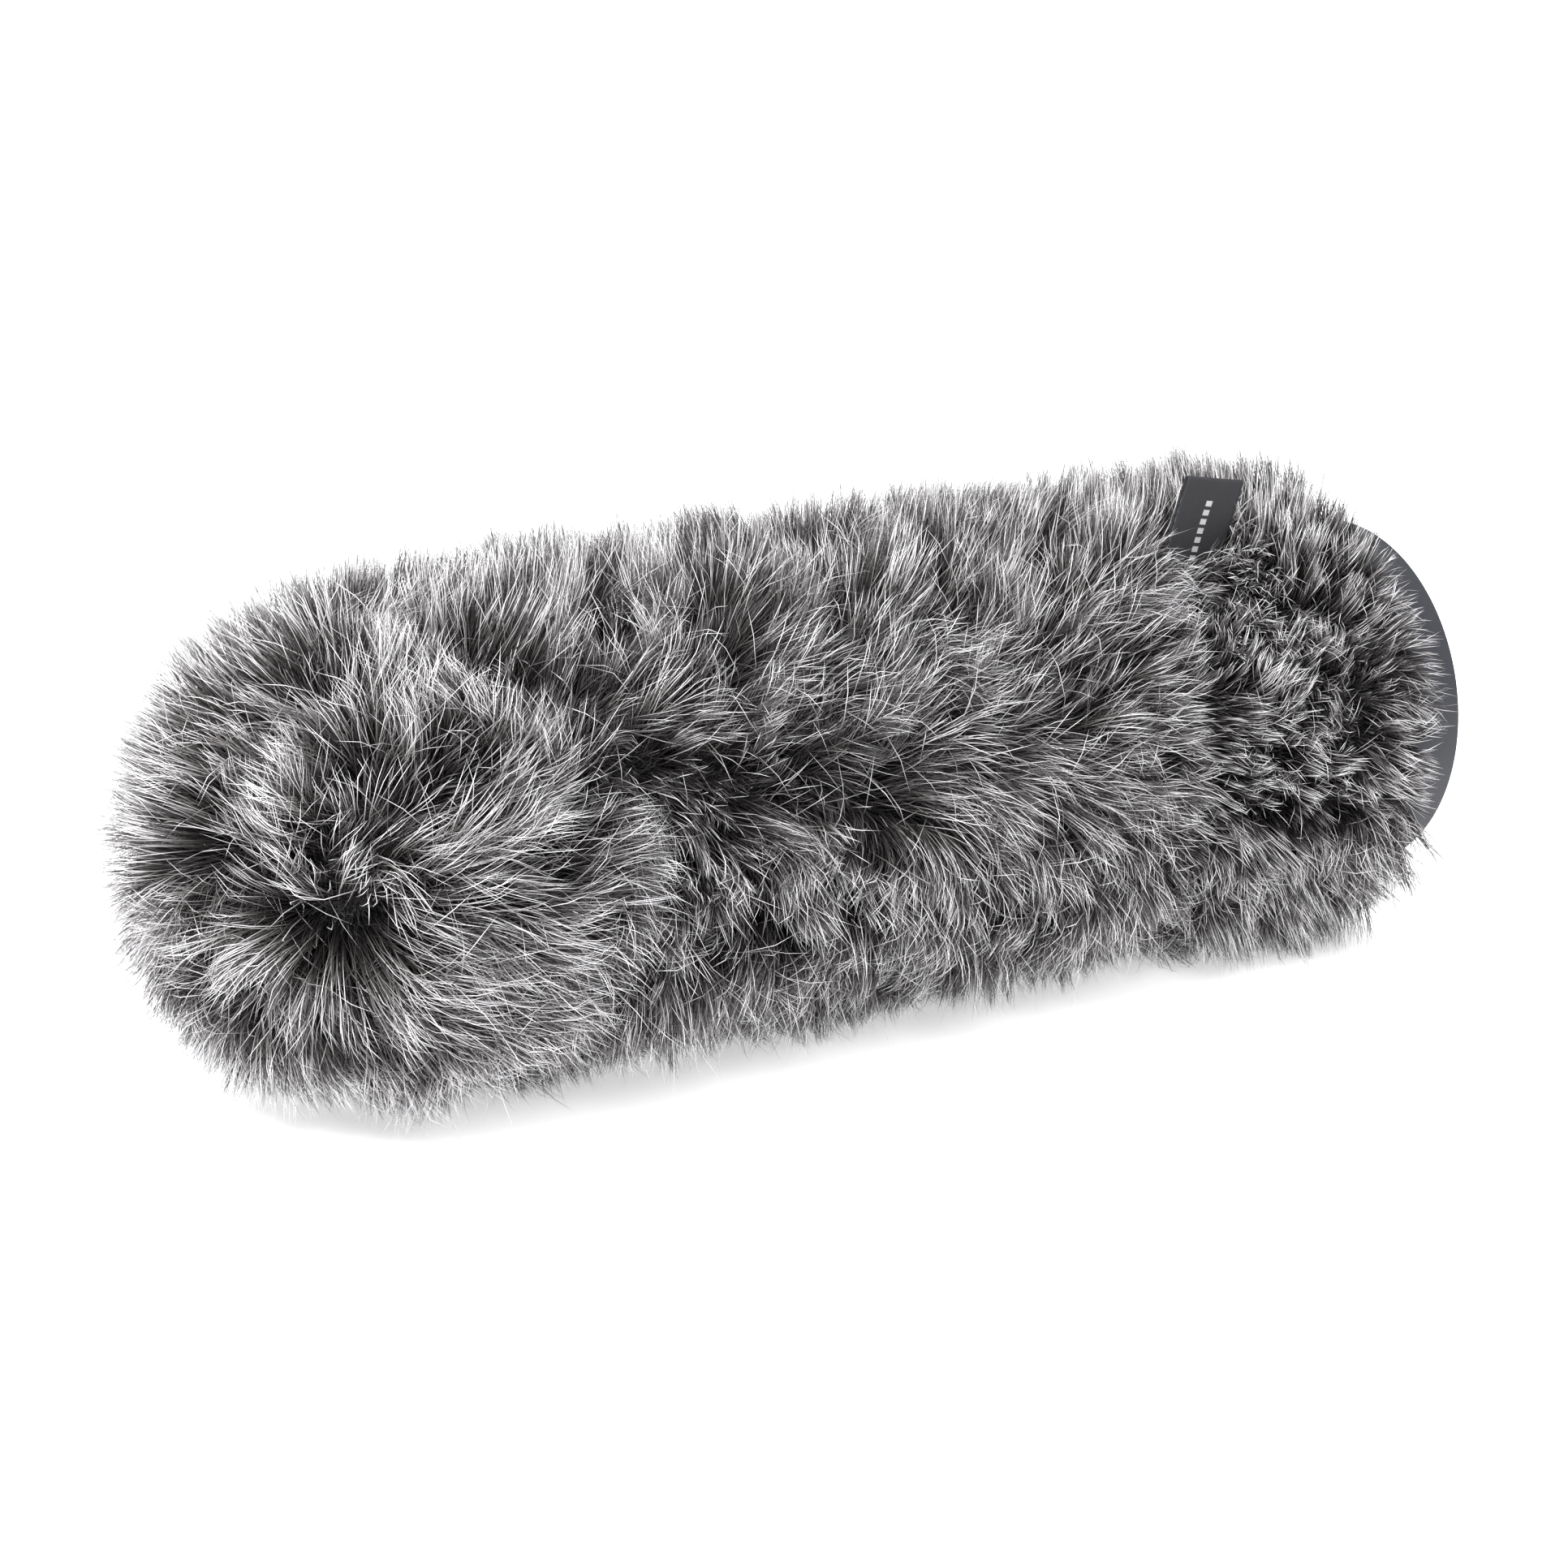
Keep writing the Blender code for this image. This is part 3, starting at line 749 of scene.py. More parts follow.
# Brush strokes on the side that shows: place along the axis in mm, angle round it, heading of the lay
# (0 rearwards, 90 up over the top), lean of the tips from upright, all in degrees, and hair length in mm.
STROKES = [
    (-135, -60, -80, 62, 20), (-135, -15, -140, 58, 21), (-135, 65, 120, 34, 23), (-130, -70, -70, 66, 20),
    (-130, 0, -150, 60, 22), (-130, 50, 150, 55, 20), (-125, -35, -60, 66, 21), (-125, -10, -100, 62, 22),
    (-127, 8, 165, 66, 21), (-125, 40, 160, 55, 19), (-125, 95, 90, 34, 22), (-120, -35, -40, 68, 22),
    (-121, -10, -60, 68, 22), (-120, 18, 85, 66, 21), (-120, 45, 110, 55, 19), (-120, 80, 100, 34, 21),
    (-115, -25, -20, 70, 24), (-115, 8, 25, 68, 23), (-115, 35, 90, 60, 21), (-110, 0, -5, 74, 24),
    (-113, -9, -25, 72, 24), (-110, 15, 40, 68, 23), (-110, 75, 80, 32, 21), (-105, -35, -50, 70, 22),
    (-105, -15, -20, 72, 24), (-105, 15, 20, 70, 23), (-105, 45, 50, 62, 21), (-105, 70, 70, 34, 21),
    (-105, 95, 70, 29, 21), (-100, 3, 0, 74, 25), (-95, -35, -60, 70, 23), (-95, -20, -40, 72, 24),
    (-95, 15, 30, 70, 23), (-90, -10, -15, 74, 24), (-90, 30, 60, 62, 21), (-90, 50, 110, 55, 19),
    (-85, -40, -60, 70, 21), (-85, -20, -60, 68, 22), (-85, 0, 0, 74, 23), (-85, 20, 50, 66, 22),
    (-85, 65, 80, 32, 21), (-75, 25, 50, 64, 22), (-75, 45, 95, 50, 19), (-75, 65, 70, 29, 21),
    (-70, -35, -90, 64, 19), (-70, 0, -10, 72, 22), (-70, 15, 50, 66, 21), (-70, 35, -60, 46, 17),
    (-60, -40, -80, 66, 19), (-60, -15, -110, 54, 18), (-60, 0, -110, 50, 18), (-60, 60, 70, 30, 22),
    (-55, 25, -80, 44, 17), (-55, 50, 90, 50, 20), (-50, 10, -120, 42, 17), (-50, 85, 60, 26, 21),
    (-45, -35, -90, 66, 19), (-45, 30, 0, 62, 19), (-45, 45, 70, 54, 20), (-40, 0, -150, 40, 17),
    (-40, 20, -50, 52, 18), (-40, 62, 60, 30, 22), (-35, -20, -90, 62, 19), (-35, 5, -60, 50, 18),
    (-35, 30, 30, 62, 20), (-30, -38, -120, 68, 20), (-30, -5, -150, 40, 17), (-30, 42, 40, 58, 20),
    (-25, 65, 60, 30, 21), (-25, 90, 60, 26, 20), (-20, -25, -120, 64, 19), (-20, 0, -130, 42, 17),
    (-20, 30, 10, 66, 20), (-15, -38, -160, 70, 20), (-10, 10, -10, 68, 20), (-10, 35, 10, 64, 20),
    (-10, 85, 60, 26, 20), (-5, -15, -140, 44, 17), (0, 47, 20, 60, 18), (5, -10, -130, 46, 17),
    (5, 25, 0, 68, 20), (5, 62, 50, 34, 20), (10, -32, -150, 70, 20), (10, 0, -30, 64, 19),
    (15, 45, 0, 58, 17), (20, 22, 10, 66, 19), (22, -5, -80, 54, 18), (25, -15, -100, 60, 19),
    (25, 67, 70, 30, 20), (30, 42, 60, 54, 18), (35, -37, -130, 70, 20), (35, 10, -10, 68, 20),
    (35, 72, 60, 28, 20), (40, -20, -110, 62, 19), (43, 0, -15, 64, 18), (45, 20, 0, 66, 20),
    (47, 50, 50, 54, 19), (50, -22, -120, 58, 19), (61, 12, 20, 24, 13), (60, -12, 0, 24, 13),
    (50, 10, -25, 60, 16.5), (55, -42, -90, 66, 20), (53, 27, 0, 60, 17.5), (55, 72, 50, 28, 20),
    (70, -37, -80, 60, 19), (73, 5, 20, 20, 13), (73, 28, 40, 18, 13), (75, -25, -90, 34, 15),
    (79, 42, 170, 26, 12), (80, 55, -80, 62, 13), (88, 58, -60, 58, 13), (86, 80, 80, 16, 21.5),
    (85, 0, 165, 32, 14), (90, -30, -70, 34, 17), (90, 30, -165, 30, 14), (100, 12, 175, 30, 14),
    (100, 48, -150, 22, 15), (96, 88, 100, 10, 23), (105, 70, 150, 12, 19), (108, 95, 170, 12, 21.5),
    (100, -62, -80, 40, 21), (112, -48, -80, 36, 21), (118, -42, -70, 28, 19), (112, -20, -40, 34, 14),
    (118, 5, -15, 34, 11), (116, 38, 25, 32, 11.5), (116, 66, 120, 13, 15), (118, 95, 180, 14, 17),
]

# The swirl that the nose's pile spreads from. Hairs in it cross each other more.
SWIRL_X = -119.7 * MM
SWIRL_ANGLE = math.radians(4.8)
SWIRL_REACH = 8.0 * MM

# Partings, where the pile falls open, its dark roots show and its hairs are painted darker as painted shade:
# half a width in mm, how strongly the hairs on either side fall away from it, then places along the axis in mm
# with angles round it.
PARTINGS = (
    (3.4, 0.7, ((-98, 72), (-88, 62), (-79, 52), (-68, 34), (-50, 25), (-28, 19), (-14, 14))),
    (3.0, 0.0, ((-68, 34), (-56, 10), (-60, -12), (-68, -28), (-76, -42))),
    (3.6, 0.0, ((64, -32), (63, -10), (65, 12), (70, 30), (77, 46), (82, 56))),
    (4.6, 1.1, ((-134, 22), (-131, 36), (-122, 53), (-114, 60))),
    (4.2, 1.0, ((-134, -26), (-128, -28), (-120, -30))),
    (2.8, 0.8, ((-112, 30), (-104, 26), (-96, 34))),
    (2.6, 0.6, ((-92, 4), (-84, 10), (-76, 20))),
    (2.6, 0.7, ((-104, 84), (-94, 92), (-84, 88))),
    (2.4, 0.6, ((-50, -14), (-38, -8), (-24, -16))),
    (2.2, 0.6, ((20, 34), (30, 28), (44, 31))),
    (2.2, 0.6, ((14, -18), (28, -22), (40, -14))),
    (2.6, 0.7, ((92, 24), (98, 14), (106, 18), (112, 28))),
    (2.4, 0.7, ((84, -10), (94, -16), (104, -12))),
    (2.6, 0.7, ((96, 46), (104, 40), (110, 48))),
    (2.4, 0.6, ((-30, 78), (-12, 74), (2, 80))),
    (2.4, 0.6, ((30, 72), (44, 66), (56, 74))),
    (2.3, 0.8, ((-66, 46), (-58, 58), (-52, 72))),
    (2.3, 0.8, ((-44, 40), (-38, 52), (-34, 62))),
    (2.3, 0.8, ((-16, 44), (-10, 56), (-8, 64))),
    (2.3, 0.8, ((12, 54), (16, 64), (18, 74))),
    (2.3, 0.8, ((34, 46), (38, 54), (42, 60))),
    (2.3, 0.8, ((-114, 84), (-106, 100))),
    (2.4, 0.6, ((-62, 128), (-40, 120), (-20, 130))),
    (2.6, 0.6, ((10, 150), (30, 160), (46, 148))),
    (2.6, 0.6, ((-100, 150), (-84, 165), (-66, 158))),
    (2.4, 0.6, ((84, 130), (96, 140), (108, 132))),
)


def far_side_strokes():
    """Strokes on the side away from the camera: the lay falls rearwards in waves."""
    strokes = []
    for x in range(-130, 121, 25):
        for angle in range(115, 276, 32):
            heading = 45.0 + 38.0 * math.sin(x / 26.0 + angle / 40.0)
            lean = (24.0 if angle < 140 else 46.0) + 8.0 * math.sin(x / 17.0)
            length = 18.0 if x > 66 else 21.0
            if x > 110:
                heading, lean, length = 160.0, 10.0, 17.0
            strokes.append((x, angle, heading, lean, length))
    return strokes


def skin_frame(s, angle):
    """Points on the ground cloth with their normals and their rearward and round-the-axis directions."""
    on_dome = s < DOME_LENGTH
    bend = np.where(on_dome, s / CLOTH_OUTSIDE, 0.5 * math.pi)
    x = np.where(on_dome, FOAM_DOME_X - CLOTH_OUTSIDE * np.cos(bend), FOAM_DOME_X + s - DOME_LENGTH)
    radius = CLOTH_OUTSIDE * np.sin(bend)
    points = round_axis(x, radius, angle)
    radial = np.stack([np.zeros_like(angle), -np.cos(angle), np.sin(angle)], -1)
    onward = np.stack([np.zeros_like(angle), np.sin(angle), np.cos(angle)], -1)
    ahead = np.array([1.0, 0.0, 0.0])
    normal = np.sin(bend)[..., None] * radial - np.cos(bend)[..., None] * ahead
    rearward = np.cos(bend)[..., None] * radial + np.sin(bend)[..., None] * ahead
    return points, normal, rearward, onward


def skin_place(points):
    """How far along the cloth, from the tip, and at what angle each point stands."""
    offset = points - np.array([FOAM_DOME_X, 0.0, AXIS_Z])
    radius = np.hypot(offset[..., 1], offset[..., 2])
    angle = np.arctan2(offset[..., 2], -offset[..., 1])
    bend = np.arctan2(radius, -offset[..., 0])
    s = np.where(offset[..., 0] < 0.0, bend * CLOTH_OUTSIDE, DOME_LENGTH + offset[..., 0])
    return s, angle


def stroke_place(x):
    """The cloth's distance from the tip under a place on the pile's surface."""
    if x >= FOAM_DOME_X:
        return DOME_LENGTH + x - FOAM_DOME_X
    reach = FOAM_DOME_X - TIP_X
    return CLOTH_OUTSIDE * math.acos(min(1.0, (FOAM_DOME_X - x) / reach))


def unit(vectors):
    return vectors / np.maximum(np.linalg.norm(vectors, axis=-1, keepdims=True), 1e-12)


def behind_seams(s):
    """How much of its length the pile keeps: it starts shorter behind each seam."""
    x = FOAM_DOME_X + s - DOME_LENGTH
    keep = np.ones_like(s)
    for seam_x, least, reach in ((NOSE_SEAM_X, 0.80, 16.0 * MM), (BAND_SEAM_X, 0.66, 13.0 * MM)):
        share = np.clip((x - seam_x) / reach, 0.0, 1.0)
        keep = np.where(x > seam_x, keep * (least + (1.0 - least) * share), keep)
    return keep


def nearest_on_line(spots, line):
    """The place on a line through the given points that is nearest to each spot."""
    found = np.repeat(line[:1], len(spots), 0)
    least = np.full(len(spots), np.inf)
    for start, end in zip(line, line[1:]):
        run = end - start
        share = np.clip((spots - start) @ run / (run @ run), 0.0, 1.0)
        place = start + share[:, None] * run
        apart = np.linalg.norm(spots - place, axis=1)
        closer = apart < least
        found[closer], least[closer] = place[closer], apart[closer]
    return found, least


def partings(spots):
    """How open the pile is at each spot, from 0 to 1, and the push away from the nearby partings."""
    openness = np.zeros(len(spots))
    push = np.zeros_like(spots)
    for width, spread, places in PARTINGS:
        s = np.array([stroke_place(x * MM) for x, _ in places])
        angle = np.radians([angle for _, angle in places])
        nearest_place, apart = nearest_on_line(spots, skin_frame(s, angle)[0])
        reach = width * MM
        openness = np.maximum(openness, np.exp(-((apart / reach) ** 2)))
        fall = spread * np.exp(-((apart / (2.4 * reach)) ** 2))
        push += fall[:, None] * unit(spots - nearest_place)
    return openness, push


def swirl_share(spots):
    """1 at the middle of the swirl near the tip, falling to 0 about 20 mm away."""
    s = np.array([stroke_place(SWIRL_X)])
    middle = skin_frame(s, np.array([SWIRL_ANGLE]))[0][0]
    return np.exp(-((np.linalg.norm(spots - middle, axis=-1) / SWIRL_REACH) ** 2))


def waves(spots, count, shortest, longest, rng):
    """A smooth random value at each spot: waves in random directions, between about -1 and 1."""
    total = np.zeros(len(spots))
    for _ in range(count):
        direction = unit(rng.normal(size=3))
        wavelength = rng.uniform(shortest, longest)
        total += np.sin(spots @ direction * TAU / wavelength + rng.uniform(0.0, TAU))
    return total / math.sqrt(count)


class Lay:
    """The pile's lay all over the cloth, blended from the strokes on a grid."""

    ROWS = 160
    COLUMNS = 160
    REACH = 6.5 * MM

    def __init__(self):
        strokes = np.array(STROKES + far_side_strokes(), float)
        s = np.array([stroke_place(x * MM) for x in strokes[:, 0]])
        angle, heading = np.radians(strokes[:, 1]), np.radians(strokes[:, 2])
        place, _, rearward, onward = skin_frame(s, angle)
        stroke_push = np.cos(heading)[:, None] * rearward + np.sin(heading)[:, None] * onward
        values = np.column_stack([stroke_push, strokes[:, 3:]])
        grid_s = np.linspace(0.0, SKIN_LENGTH, self.ROWS)
        grid_angle = np.arange(self.COLUMNS) * TAU / self.COLUMNS - math.pi
        s2, angle2 = np.meshgrid(grid_s, grid_angle, indexing="ij")
        spots = skin_frame(s2, angle2)[0].reshape(-1, 3)
        apart = np.linalg.norm(spots[:, None, :] - place[None, :, :], axis=2)
        weight = np.exp(-0.5 * (apart / self.REACH) ** 2) + 1e-4 / (1.0 + (apart / self.REACH) ** 4)
        blended = weight @ values / weight.sum(1)[:, None]
        push, lean, length = blended[:, :3], blended[:, 3], blended[:, 4]
        push[:] = unit(push)
        rng = np.random.default_rng(FUR_SEED + 7)
        for axis in range(3):
            push[:, axis] += 0.45 * waves(spots, 12, 10.0 * MM, 28.0 * MM, rng)
        lean += 9.0 * waves(spots, 14, 10.0 * MM, 24.0 * MM, rng)
        lean *= 1.0 - 0.58 * swirl_share(spots)
        length *= 1.0 + 0.07 * waves(spots, 14, 9.0 * MM, 22.0 * MM, rng)
        length *= behind_seams(s2.ravel())
        pressed = np.where(spots[:, 0] > BAND_SEAM_X, 0.88, 0.62)
        length *= np.clip(spots[:, 2] / (30.0 * MM), pressed, 1.0)
        open_share, away = partings(spots)
        push += away
        length *= 1.0 - 0.50 * open_share
        self.grid = blended.reshape(self.ROWS, self.COLUMNS, 5)

    def at(self, points):
        """The lay's push, lean in degrees and hair length in mm near each point."""
        s, angle = skin_place(points)
        row = np.clip(s / SKIN_LENGTH, 0.0, 1.0) * (self.ROWS - 1)
        column = (angle + math.pi) / TAU * self.COLUMNS
        row_low = np.minimum(row.astype(int), self.ROWS - 2)
        column_low = np.floor(column).astype(int)
        row_share = (row - row_low)[..., None]
        column_share = (column - column_low)[..., None]
        found = 0.0
        for row_step, row_weight in ((0, 1.0 - row_share), (1, row_share)):
            for column_step, column_weight in ((0, 1.0 - column_share), (1, column_share)):
                cell = self.grid[row_low + row_step, (column_low + column_step) % self.COLUMNS]
                found = found + row_weight * column_weight * cell
        return found[..., :3], found[..., 3], found[..., 4]


# ---------------------------------------------------------------- the hairs

# How many hairs share a tuft and a lock, and the shares of strays and, on each panel, of dark hairs.
TUFT_HAIRS = 16
LOCK_HAIRS = 150
STRAY_SHARE = 0.095
DARK_SHARES = (0.62, 0.82, 0.78)

PANELS = (
    ("nose", "fur_nose_cap"),
    ("sleeve", "fur_sleeve"),
    ("band", "fur_rear_band"),
)


def even_roots(count, rng):
    """Roots spread evenly over the cloth, as (distance from the tip, angle)."""
    golden = 0.7548776662466927
    silver = 0.5698402909980532
    index = np.arange(count)
    share = (0.5 + index * golden) % 1.0
    angle = ((0.5 + index * silver) % 1.0) * TAU - math.pi
    dome_area = CLOTH_OUTSIDE ** 2
    tube_area = CLOTH_OUTSIDE * (SKIN_LENGTH - DOME_LENGTH)
    area = share * (dome_area + tube_area)
    bend = np.arccos(np.clip(1.0 - area / dome_area, 0.0, 1.0))
    s = np.where(area < dome_area, bend * CLOTH_OUTSIDE, DOME_LENGTH + (area - dome_area) / CLOTH_OUTSIDE)
    s = np.clip(s + rng.normal(0.0, 0.25 * MM, count), 0.3 * MM, SKIN_LENGTH)
    angle = angle + rng.normal(0.0, 0.006, count)
    return s, angle


def nearest(points, centres):
    """For each point, which centre is nearest."""
    tree = KDTree(len(centres))
    for index, centre in enumerate(centres):
        tree.insert(centre, index)
    tree.balance()
    return np.array([tree.find(point)[1] for point in points])


def turn_about(vectors, axes, angles):
    """Turns each vector about its own axis."""
    cosine, sine = np.cos(angles)[:, None], np.sin(angles)[:, None]
    along = (vectors * axes).sum(1)[:, None] * axes
    return vectors * cosine + np.cross(axes, vectors) * sine + along * (1.0 - cosine)


def grow(lay, s, angle, heading_shift, lean_shift, length_share, steps, rng):
    """Grows one hair from each root along the lay, and returns its points (count, steps + 1, 3).

    Every hair leaves its root nearly upright and leans over more and more, with a curl of its own.
    """
    root_lean = 12.0
    look_ahead = 8.0 * MM
    root_depth = 0.3 * MM
    here, normal, _, _ = skin_frame(s, angle)
    push, lean, length = lay.at(here)
    ahead = lay.at(here + look_ahead * unit(push))[0]
    stride = length * MM * length_share / steps
    path = [here - root_depth * normal]
    curl = rng.normal(0.0, 0.18, len(s))
    bend = rng.normal(1.35, 0.22, len(s))
    for step in range(steps):
        spot_s, spot_angle = skin_place(here)
        normal = skin_frame(np.clip(spot_s, 0.0, SKIN_LENGTH), spot_angle)[1]
        share = (step + 0.6) / steps
        blend = (1.0 - 0.6 * share) * push + 0.6 * share * ahead
        flat = unit(blend - (blend * normal).sum(1)[:, None] * normal)
        flat = turn_about(flat, normal, heading_shift + curl * share * 2.0)
        tilt = np.radians(np.clip(root_lean + (lean + lean_shift - root_lean) * bend * share, 2.0, 98.0))
        direction = np.cos(tilt)[:, None] * normal + np.sin(tilt)[:, None] * flat
        here = here + stride[:, None] * direction
        path.append(here)
    return np.stack(path, 1)


def gather(paths, clump_of, leaders, pull):
    """Pulls each hair towards its clump's leading hair, more and more towards the tip."""
    steps = paths.shape[1] - 1
    share = (np.arange(steps + 1) / steps) ** 1.4
    weight = pull[:, None] * share[None, :]
    return paths + weight[:, :, None] * (leaders[clump_of] - paths)


def keep_clear(paths, radius):
    """Keeps hairs above the floor and outside the base."""
    paths[..., 2] = np.maximum(paths[..., 2], radius + 0.05 * MM)
    offset_y, offset_z = paths[..., 1], paths[..., 2] - AXIS_Z
    away = np.hypot(offset_y, offset_z)
    behind = paths[..., 0] > CLOTH_END_X
    least = BASE_RADIUS + 0.35 * MM
    push = np.where(behind & (away < least), least / np.maximum(away, 1e-6), 1.0)
    paths[..., 1] = offset_y * push
    paths[..., 2] = AXIS_Z + offset_z * push
    return paths


def within_reach(paths):
    """True for each hair that stays close to the pile's outer shape."""
    away = np.hypot(paths[..., 1], paths[..., 2] - AXIS_Z).max(1)
    return (away < PILE_RADIUS + FUR_PROUD) & (paths[..., 0].min(1) > TIP_X - FUR_PROUD)


def label_place(points):
    """How far points stand from the label's foot: along its width, its height and its thickness."""
    foot, along, up, across = (np.array(v) for v in label_axes())
    offset = points - foot
    return offset @ along, offset @ up, offset @ across


def misses_label(paths):
    """True for each hair that doesn't pass through the label."""
    wide, high, thick = label_place(paths)
    near = np.abs(wide) < 0.5 * LABEL_WIDTH + 0.8 * MM
    near &= (high > -2.0 * MM) & (high < LABEL_LENGTH + 0.8 * MM)
    inside = near & (np.abs(thick) < 1.0 * MM)
    crosses = (np.sign(thick[:, 1:]) != np.sign(thick[:, :-1])) & near[:, 1:] & near[:, :-1]
    return ~(inside.any(1) | crosses.any(1))


def swept_by_label(paths):
    """True for each hair that stands where the label swings when it bends."""
    halfway = 0.5 * (paths[:, 1:] + paths[:, :-1])
    wide, high, thick = label_place(np.concatenate([paths, halfway], 1))
    room = 1.6 * MM + np.maximum(high, 0.0) * math.tan(LABEL_SWING)
    inside = (np.abs(wide) < 0.5 * LABEL_WIDTH + 1.5 * MM) & (high < LABEL_LENGTH + 2.0 * MM)
    return (inside & (high > -1.5 * MM) & (np.abs(thick) < room)).any(1)


def hair_mesh(name, paths, radius, tone, profile):
    """Three-sided tapering tubes with pointed tips, all in one mesh, with a map of tone and length."""
    sides = 3
    count, stations, _ = paths.shape
    rings = stations - 1
    before = np.concatenate([paths[:, :1], paths[:, :-1]], 1)
    after = np.concatenate([paths[:, 1:], paths[:, -1:]], 1)
    along = unit(after - before)
    side = unit(np.cross(along, np.array([0.31, 0.52, 0.79])))
    other = np.cross(along, side)
    size = radius[:, None] * np.array(profile)[None, :rings]
    corners = []
    for corner in range(sides):
        turn = TAU * corner / sides
        arm = math.cos(turn) * side[:, :rings] + math.sin(turn) * other[:, :rings]
        corners.append(paths[:, :rings] + size[..., None] * arm)
    ring_points = np.stack(corners, 2).reshape(count, rings * sides, 3)
    points = np.concatenate([ring_points, paths[:, -1:]], 1)
    tip = rings * sides
    root_end = (2, 1, 0)
    pattern = [root_end]
    for a, b, c, d in ring_faces(rings, sides, False):
        pattern += [(a, b, c), (a, c, d)]
    for corner in range(tip - sides, tip):
        pattern.append((corner, corner + 1 if corner + 1 < tip else tip - sides, tip))
    shifts = np.arange(count)[:, None, None] * (tip + 1)
    faces = (shifts + np.array(pattern)[None]).reshape(-1, 3)
    u = np.empty((count, tip + 1), np.float32)
    v = np.empty((count, tip + 1), np.float32)
    for corner, shift in enumerate((-0.006, 0.0, 0.006)):
        u[:, corner:-1:sides] = tone[:, None] + shift
        v[:, corner:-1:sides] = 0.02 + 0.94 * np.arange(rings)[None, :] / rings
    u[:, -1] = tone
    v[:, -1] = 0.98
    mesh = bpy.data.meshes.new(name)
    mesh.vertices.add(count * (tip + 1))
    mesh.vertices.foreach_set("co", points.astype(np.float32).ravel())
    mesh.loops.add(faces.size)
    mesh.loops.foreach_set("vertex_index", faces.astype(np.int32).ravel())
    mesh.polygons.add(len(faces))
    mesh.polygons.foreach_set("loop_start", np.arange(0, faces.size, 3, dtype=np.int32))
    mesh.polygons.foreach_set("use_smooth", np.ones(len(faces), bool))
    layer = mesh.uv_layers.new(name="OFBake")
    uv = np.stack([u.ravel()[faces.ravel()], v.ravel()[faces.ravel()]], 1)
    layer.data.foreach_set("uv", uv.astype(np.float32).ravel())
    mesh.update(calc_edges=True)
    return link(bpy.data.objects.new(name, mesh))


def panel_of(s):
    """0 on the nose cap, 1 on the sleeve and 2 on the rear band."""
    x = FOAM_DOME_X + s - DOME_LENGTH
    return np.where(x < NOSE_SEAM_X, 0, np.where(x < BAND_SEAM_X, 1, 2))


def make_layer(layer, paths, radius, tone, s, material, profile, most):
    """Splits a layer of hairs into pieces of a moderate size, by panel and along the axis.

    The hairs that stand where the label swings go into one piece of their own.
    """
    kept = misses_label(paths) & within_reach(paths)
    swept = kept & swept_by_label(paths)
    panel = panel_of(s)
    for number, (name, node) in enumerate(PANELS):
        chosen = np.flatnonzero(kept & ~swept & (panel == number))
        chosen = chosen[np.argsort(s[chosen], kind="stable")]
        parts = max(1, math.ceil(len(chosen) / most))
        for part, share in enumerate(np.array_split(chosen, parts), 1):
            piece_name = f"{name}_{layer}_{part:02d}"
            piece = hair_mesh(piece_name, paths[share], radius[share], tone[share], profile)
            dress(piece, material, "cover", "fur", node)
    piece = hair_mesh(f"label_{layer}", paths[swept], radius[swept], tone[swept], profile)
    piece.data.materials.append(material)
    foot, _, up, _ = label_axes()
    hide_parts("fur_rear_band")
    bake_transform(piece)


def wildness(lay, spots):
    """How much tufts stray from the lay: most where the pile is short, and in the swirl."""
    length = lay.at(spots)[2]
    return np.clip((24.2 - length) / 6.0, 0.75, 1.5) + 0.4 * swirl_share(spots)


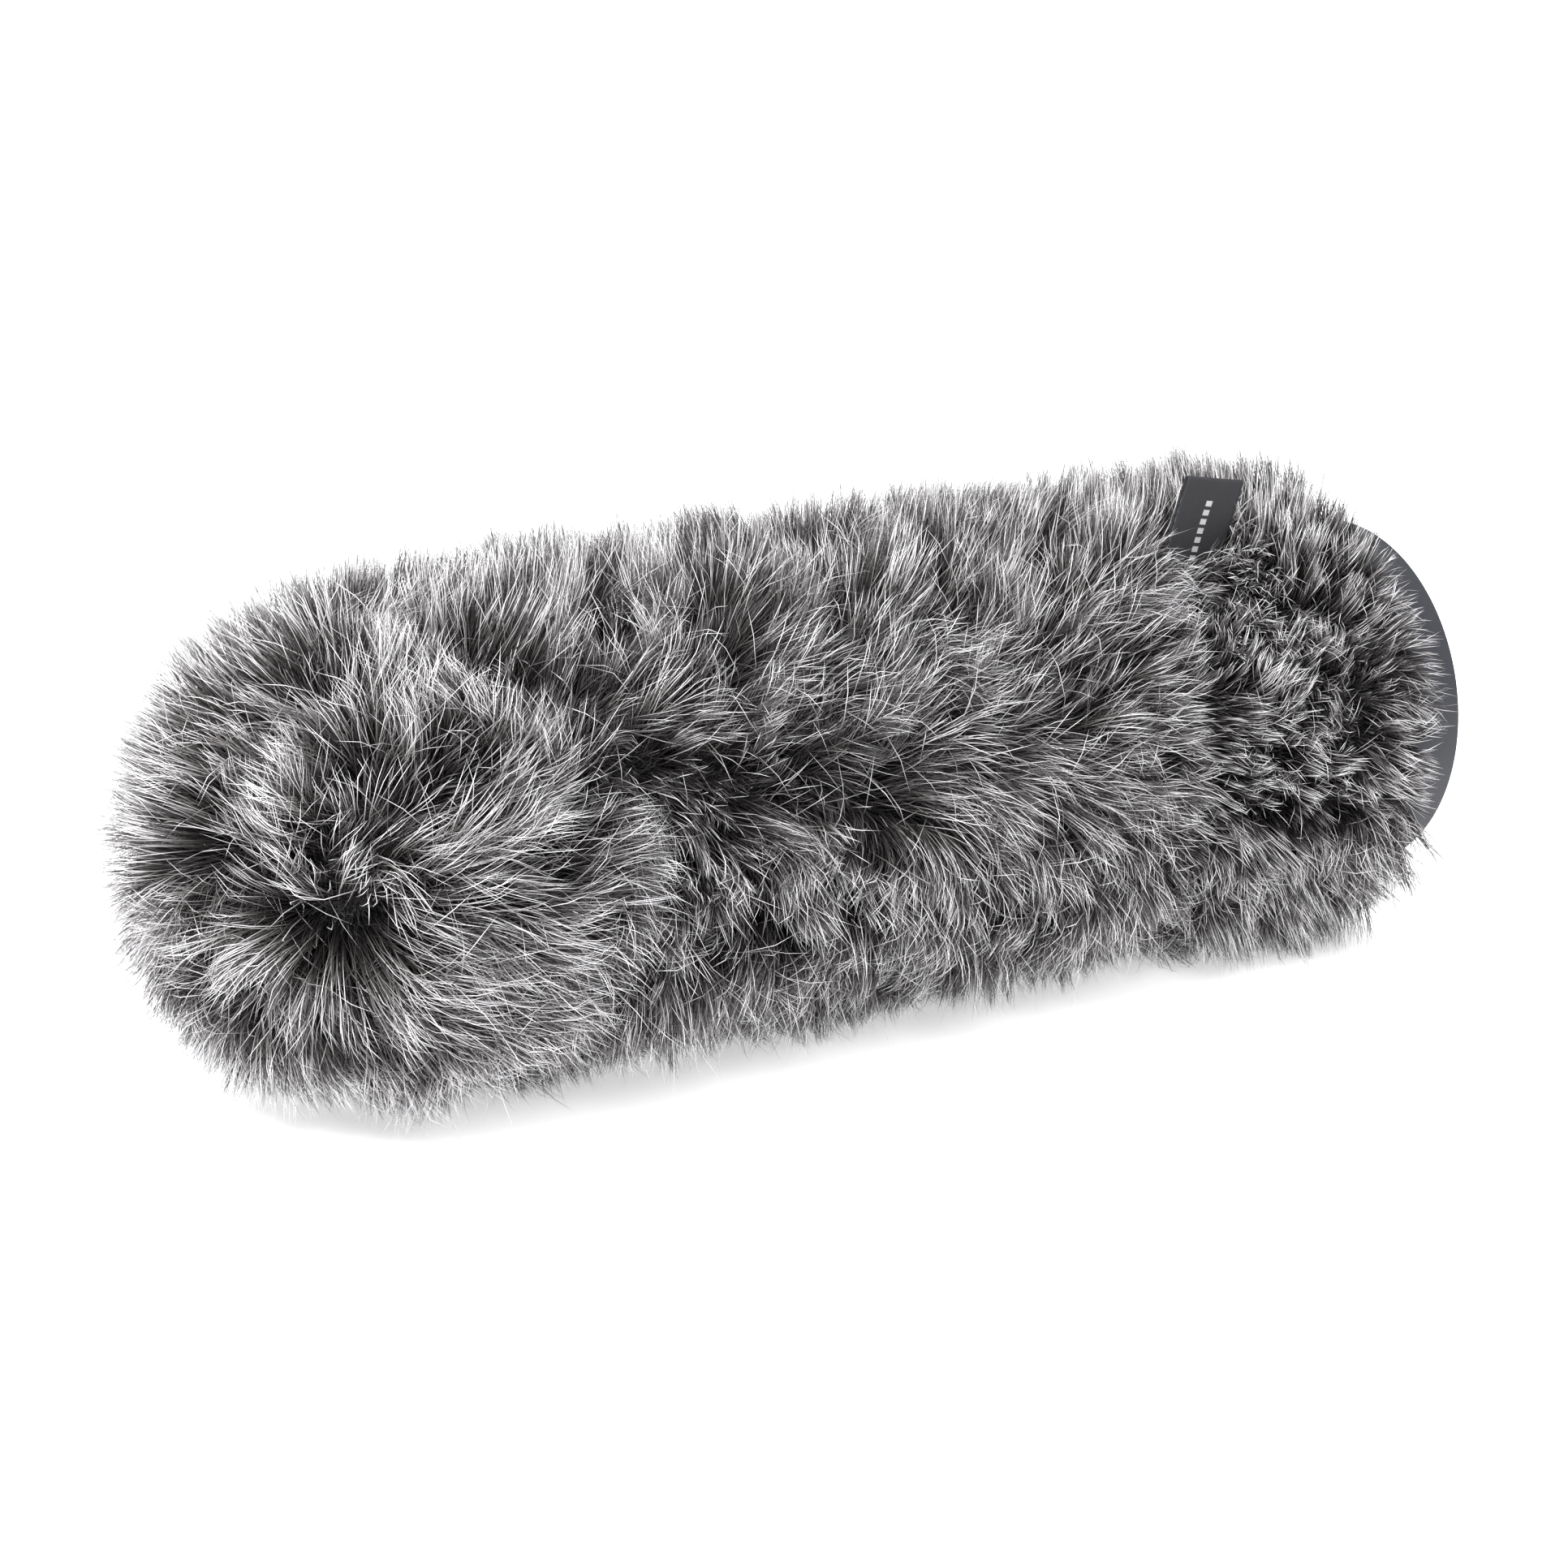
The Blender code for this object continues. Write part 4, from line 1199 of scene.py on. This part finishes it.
def make_guard_hairs(lay, material, count):
    """The long hairs that show: small tufts within larger locks, with some strays."""
    rng = np.random.default_rng(FUR_SEED)
    steps = 4
    tuft_count, lock_count = count // TUFT_HAIRS, count // LOCK_HAIRS
    s, angle = even_roots(count, rng)
    tuft_s, tuft_angle = even_roots(tuft_count, rng)
    lock_s, lock_angle = even_roots(lock_count, rng)
    root = skin_frame(s, angle)[0]
    tuft_root = skin_frame(tuft_s, tuft_angle)[0]
    lock_root = skin_frame(lock_s, lock_angle)[0]
    lock_of_tuft = nearest(tuft_root, lock_root)
    tuft_of = nearest(root, tuft_root)

    wild = wildness(lay, tuft_root)
    lock_wild = wildness(lay, lock_root)
    lock_heading = rng.normal(0.0, 0.45, lock_count) * lock_wild
    lock_lean = np.clip(rng.normal(0.0, 12.0, lock_count), -18.0, 24.0) * lock_wild
    lock_length = np.clip(rng.normal(1.0, 0.08, lock_count), 0.86, 1.10)
    tuft_heading = lock_heading[lock_of_tuft] + rng.normal(0.0, 0.40, tuft_count) * wild
    tuft_lean = lock_lean[lock_of_tuft] + rng.normal(0.0, 13.0, tuft_count) * wild
    tuft_length = lock_length[lock_of_tuft] * rng.normal(1.0, 0.08, tuft_count)
    lock_path = grow(lay, lock_s, lock_angle, lock_heading, lock_lean, lock_length, steps, rng)
    tuft_path = grow(lay, tuft_s, tuft_angle, tuft_heading, tuft_lean, tuft_length, steps, rng)
    tuft_path = gather(tuft_path, lock_of_tuft, lock_path, rng.uniform(0.2, 0.5, tuft_count))

    kind = rng.random(count)
    stray = kind < STRAY_SHARE
    silver = kind > np.choose(panel_of(s), DARK_SHARES)
    heading = tuft_heading[tuft_of] + rng.normal(0.0, np.where(stray, 0.85, 0.24))
    lean = tuft_lean[tuft_of] + rng.normal(0.0, np.where(stray, 20.0, 8.0))
    share = rng.uniform(0.62, 0.90, count)
    share = np.where(stray | silver, rng.uniform(0.86, 1.10, count), share) * tuft_length[tuft_of] * 1.10
    paths = grow(lay, s, angle, heading, lean, share, steps, rng)
    pull = np.where(stray, 0.0, rng.uniform(0.30, 0.78, count))
    paths = gather(paths, tuft_of, tuft_path, pull)
    fine_radius = rng.uniform(0.068, 0.100, count)
    radius = np.where(silver | stray, fine_radius, rng.uniform(0.072, 0.100, count)) * MM
    paths = keep_clear(paths, radius[:, None])

    tone = rng.uniform(0.02, 0.31, count)
    tone = np.where(silver, rng.uniform(0.72, 0.98, count), tone)
    stray_tone = rng.uniform(0.45, 0.98, count)
    # Hairs rooted in a parting, all but the strays, are painted darker: painted shade where the pile falls open.
    tone = np.where(stray, stray_tone, tone * (1.0 - 0.75 * partings(root)[0]))
    tone *= np.clip(rng.normal(1.0, 0.16, tuft_count), 0.6, 1.25)[tuft_of]
    tone = np.clip(tone, 0.02, 0.98)
    make_layer("pile", paths, radius, tone, s, material, profile=(1.0, 1.05, 1.0, 0.80), most=8500)


def make_underfur(lay, material, count):
    """The short dense hairs beneath, dark to near their tips."""
    rng = np.random.default_rng(FUR_SEED + 1)
    s, angle = even_roots(count, rng)
    heading = rng.normal(0.0, 0.35, count)
    lean = rng.normal(-8.0, 10.0, count)
    share = rng.uniform(0.45, 0.70, count)
    paths = grow(lay, s, angle, heading, lean, share, 2, rng)
    radius = rng.uniform(0.08, 0.12, count) * MM
    paths = keep_clear(paths, radius[:, None])
    tone = np.clip(rng.normal(0.05, 0.03, count), 0.02, 0.15)
    make_layer("underfur", paths, radius, tone, s, material, profile=(1.0, 0.9), most=19000)


def make_pile():
    material = fur_material()
    lay = Lay()
    share = 1.0
    make_guard_hairs(lay, material, int(GUARD_COUNT * share))
    make_underfur(lay, material, int(UNDER_COUNT * share))


make_camera()
make_studio()
make_base()
make_grommet()
make_snap_ring()
make_foam()
make_ground_cloth()
make_tapes()
make_hem()
make_elastic()
make_label()
make_pile()
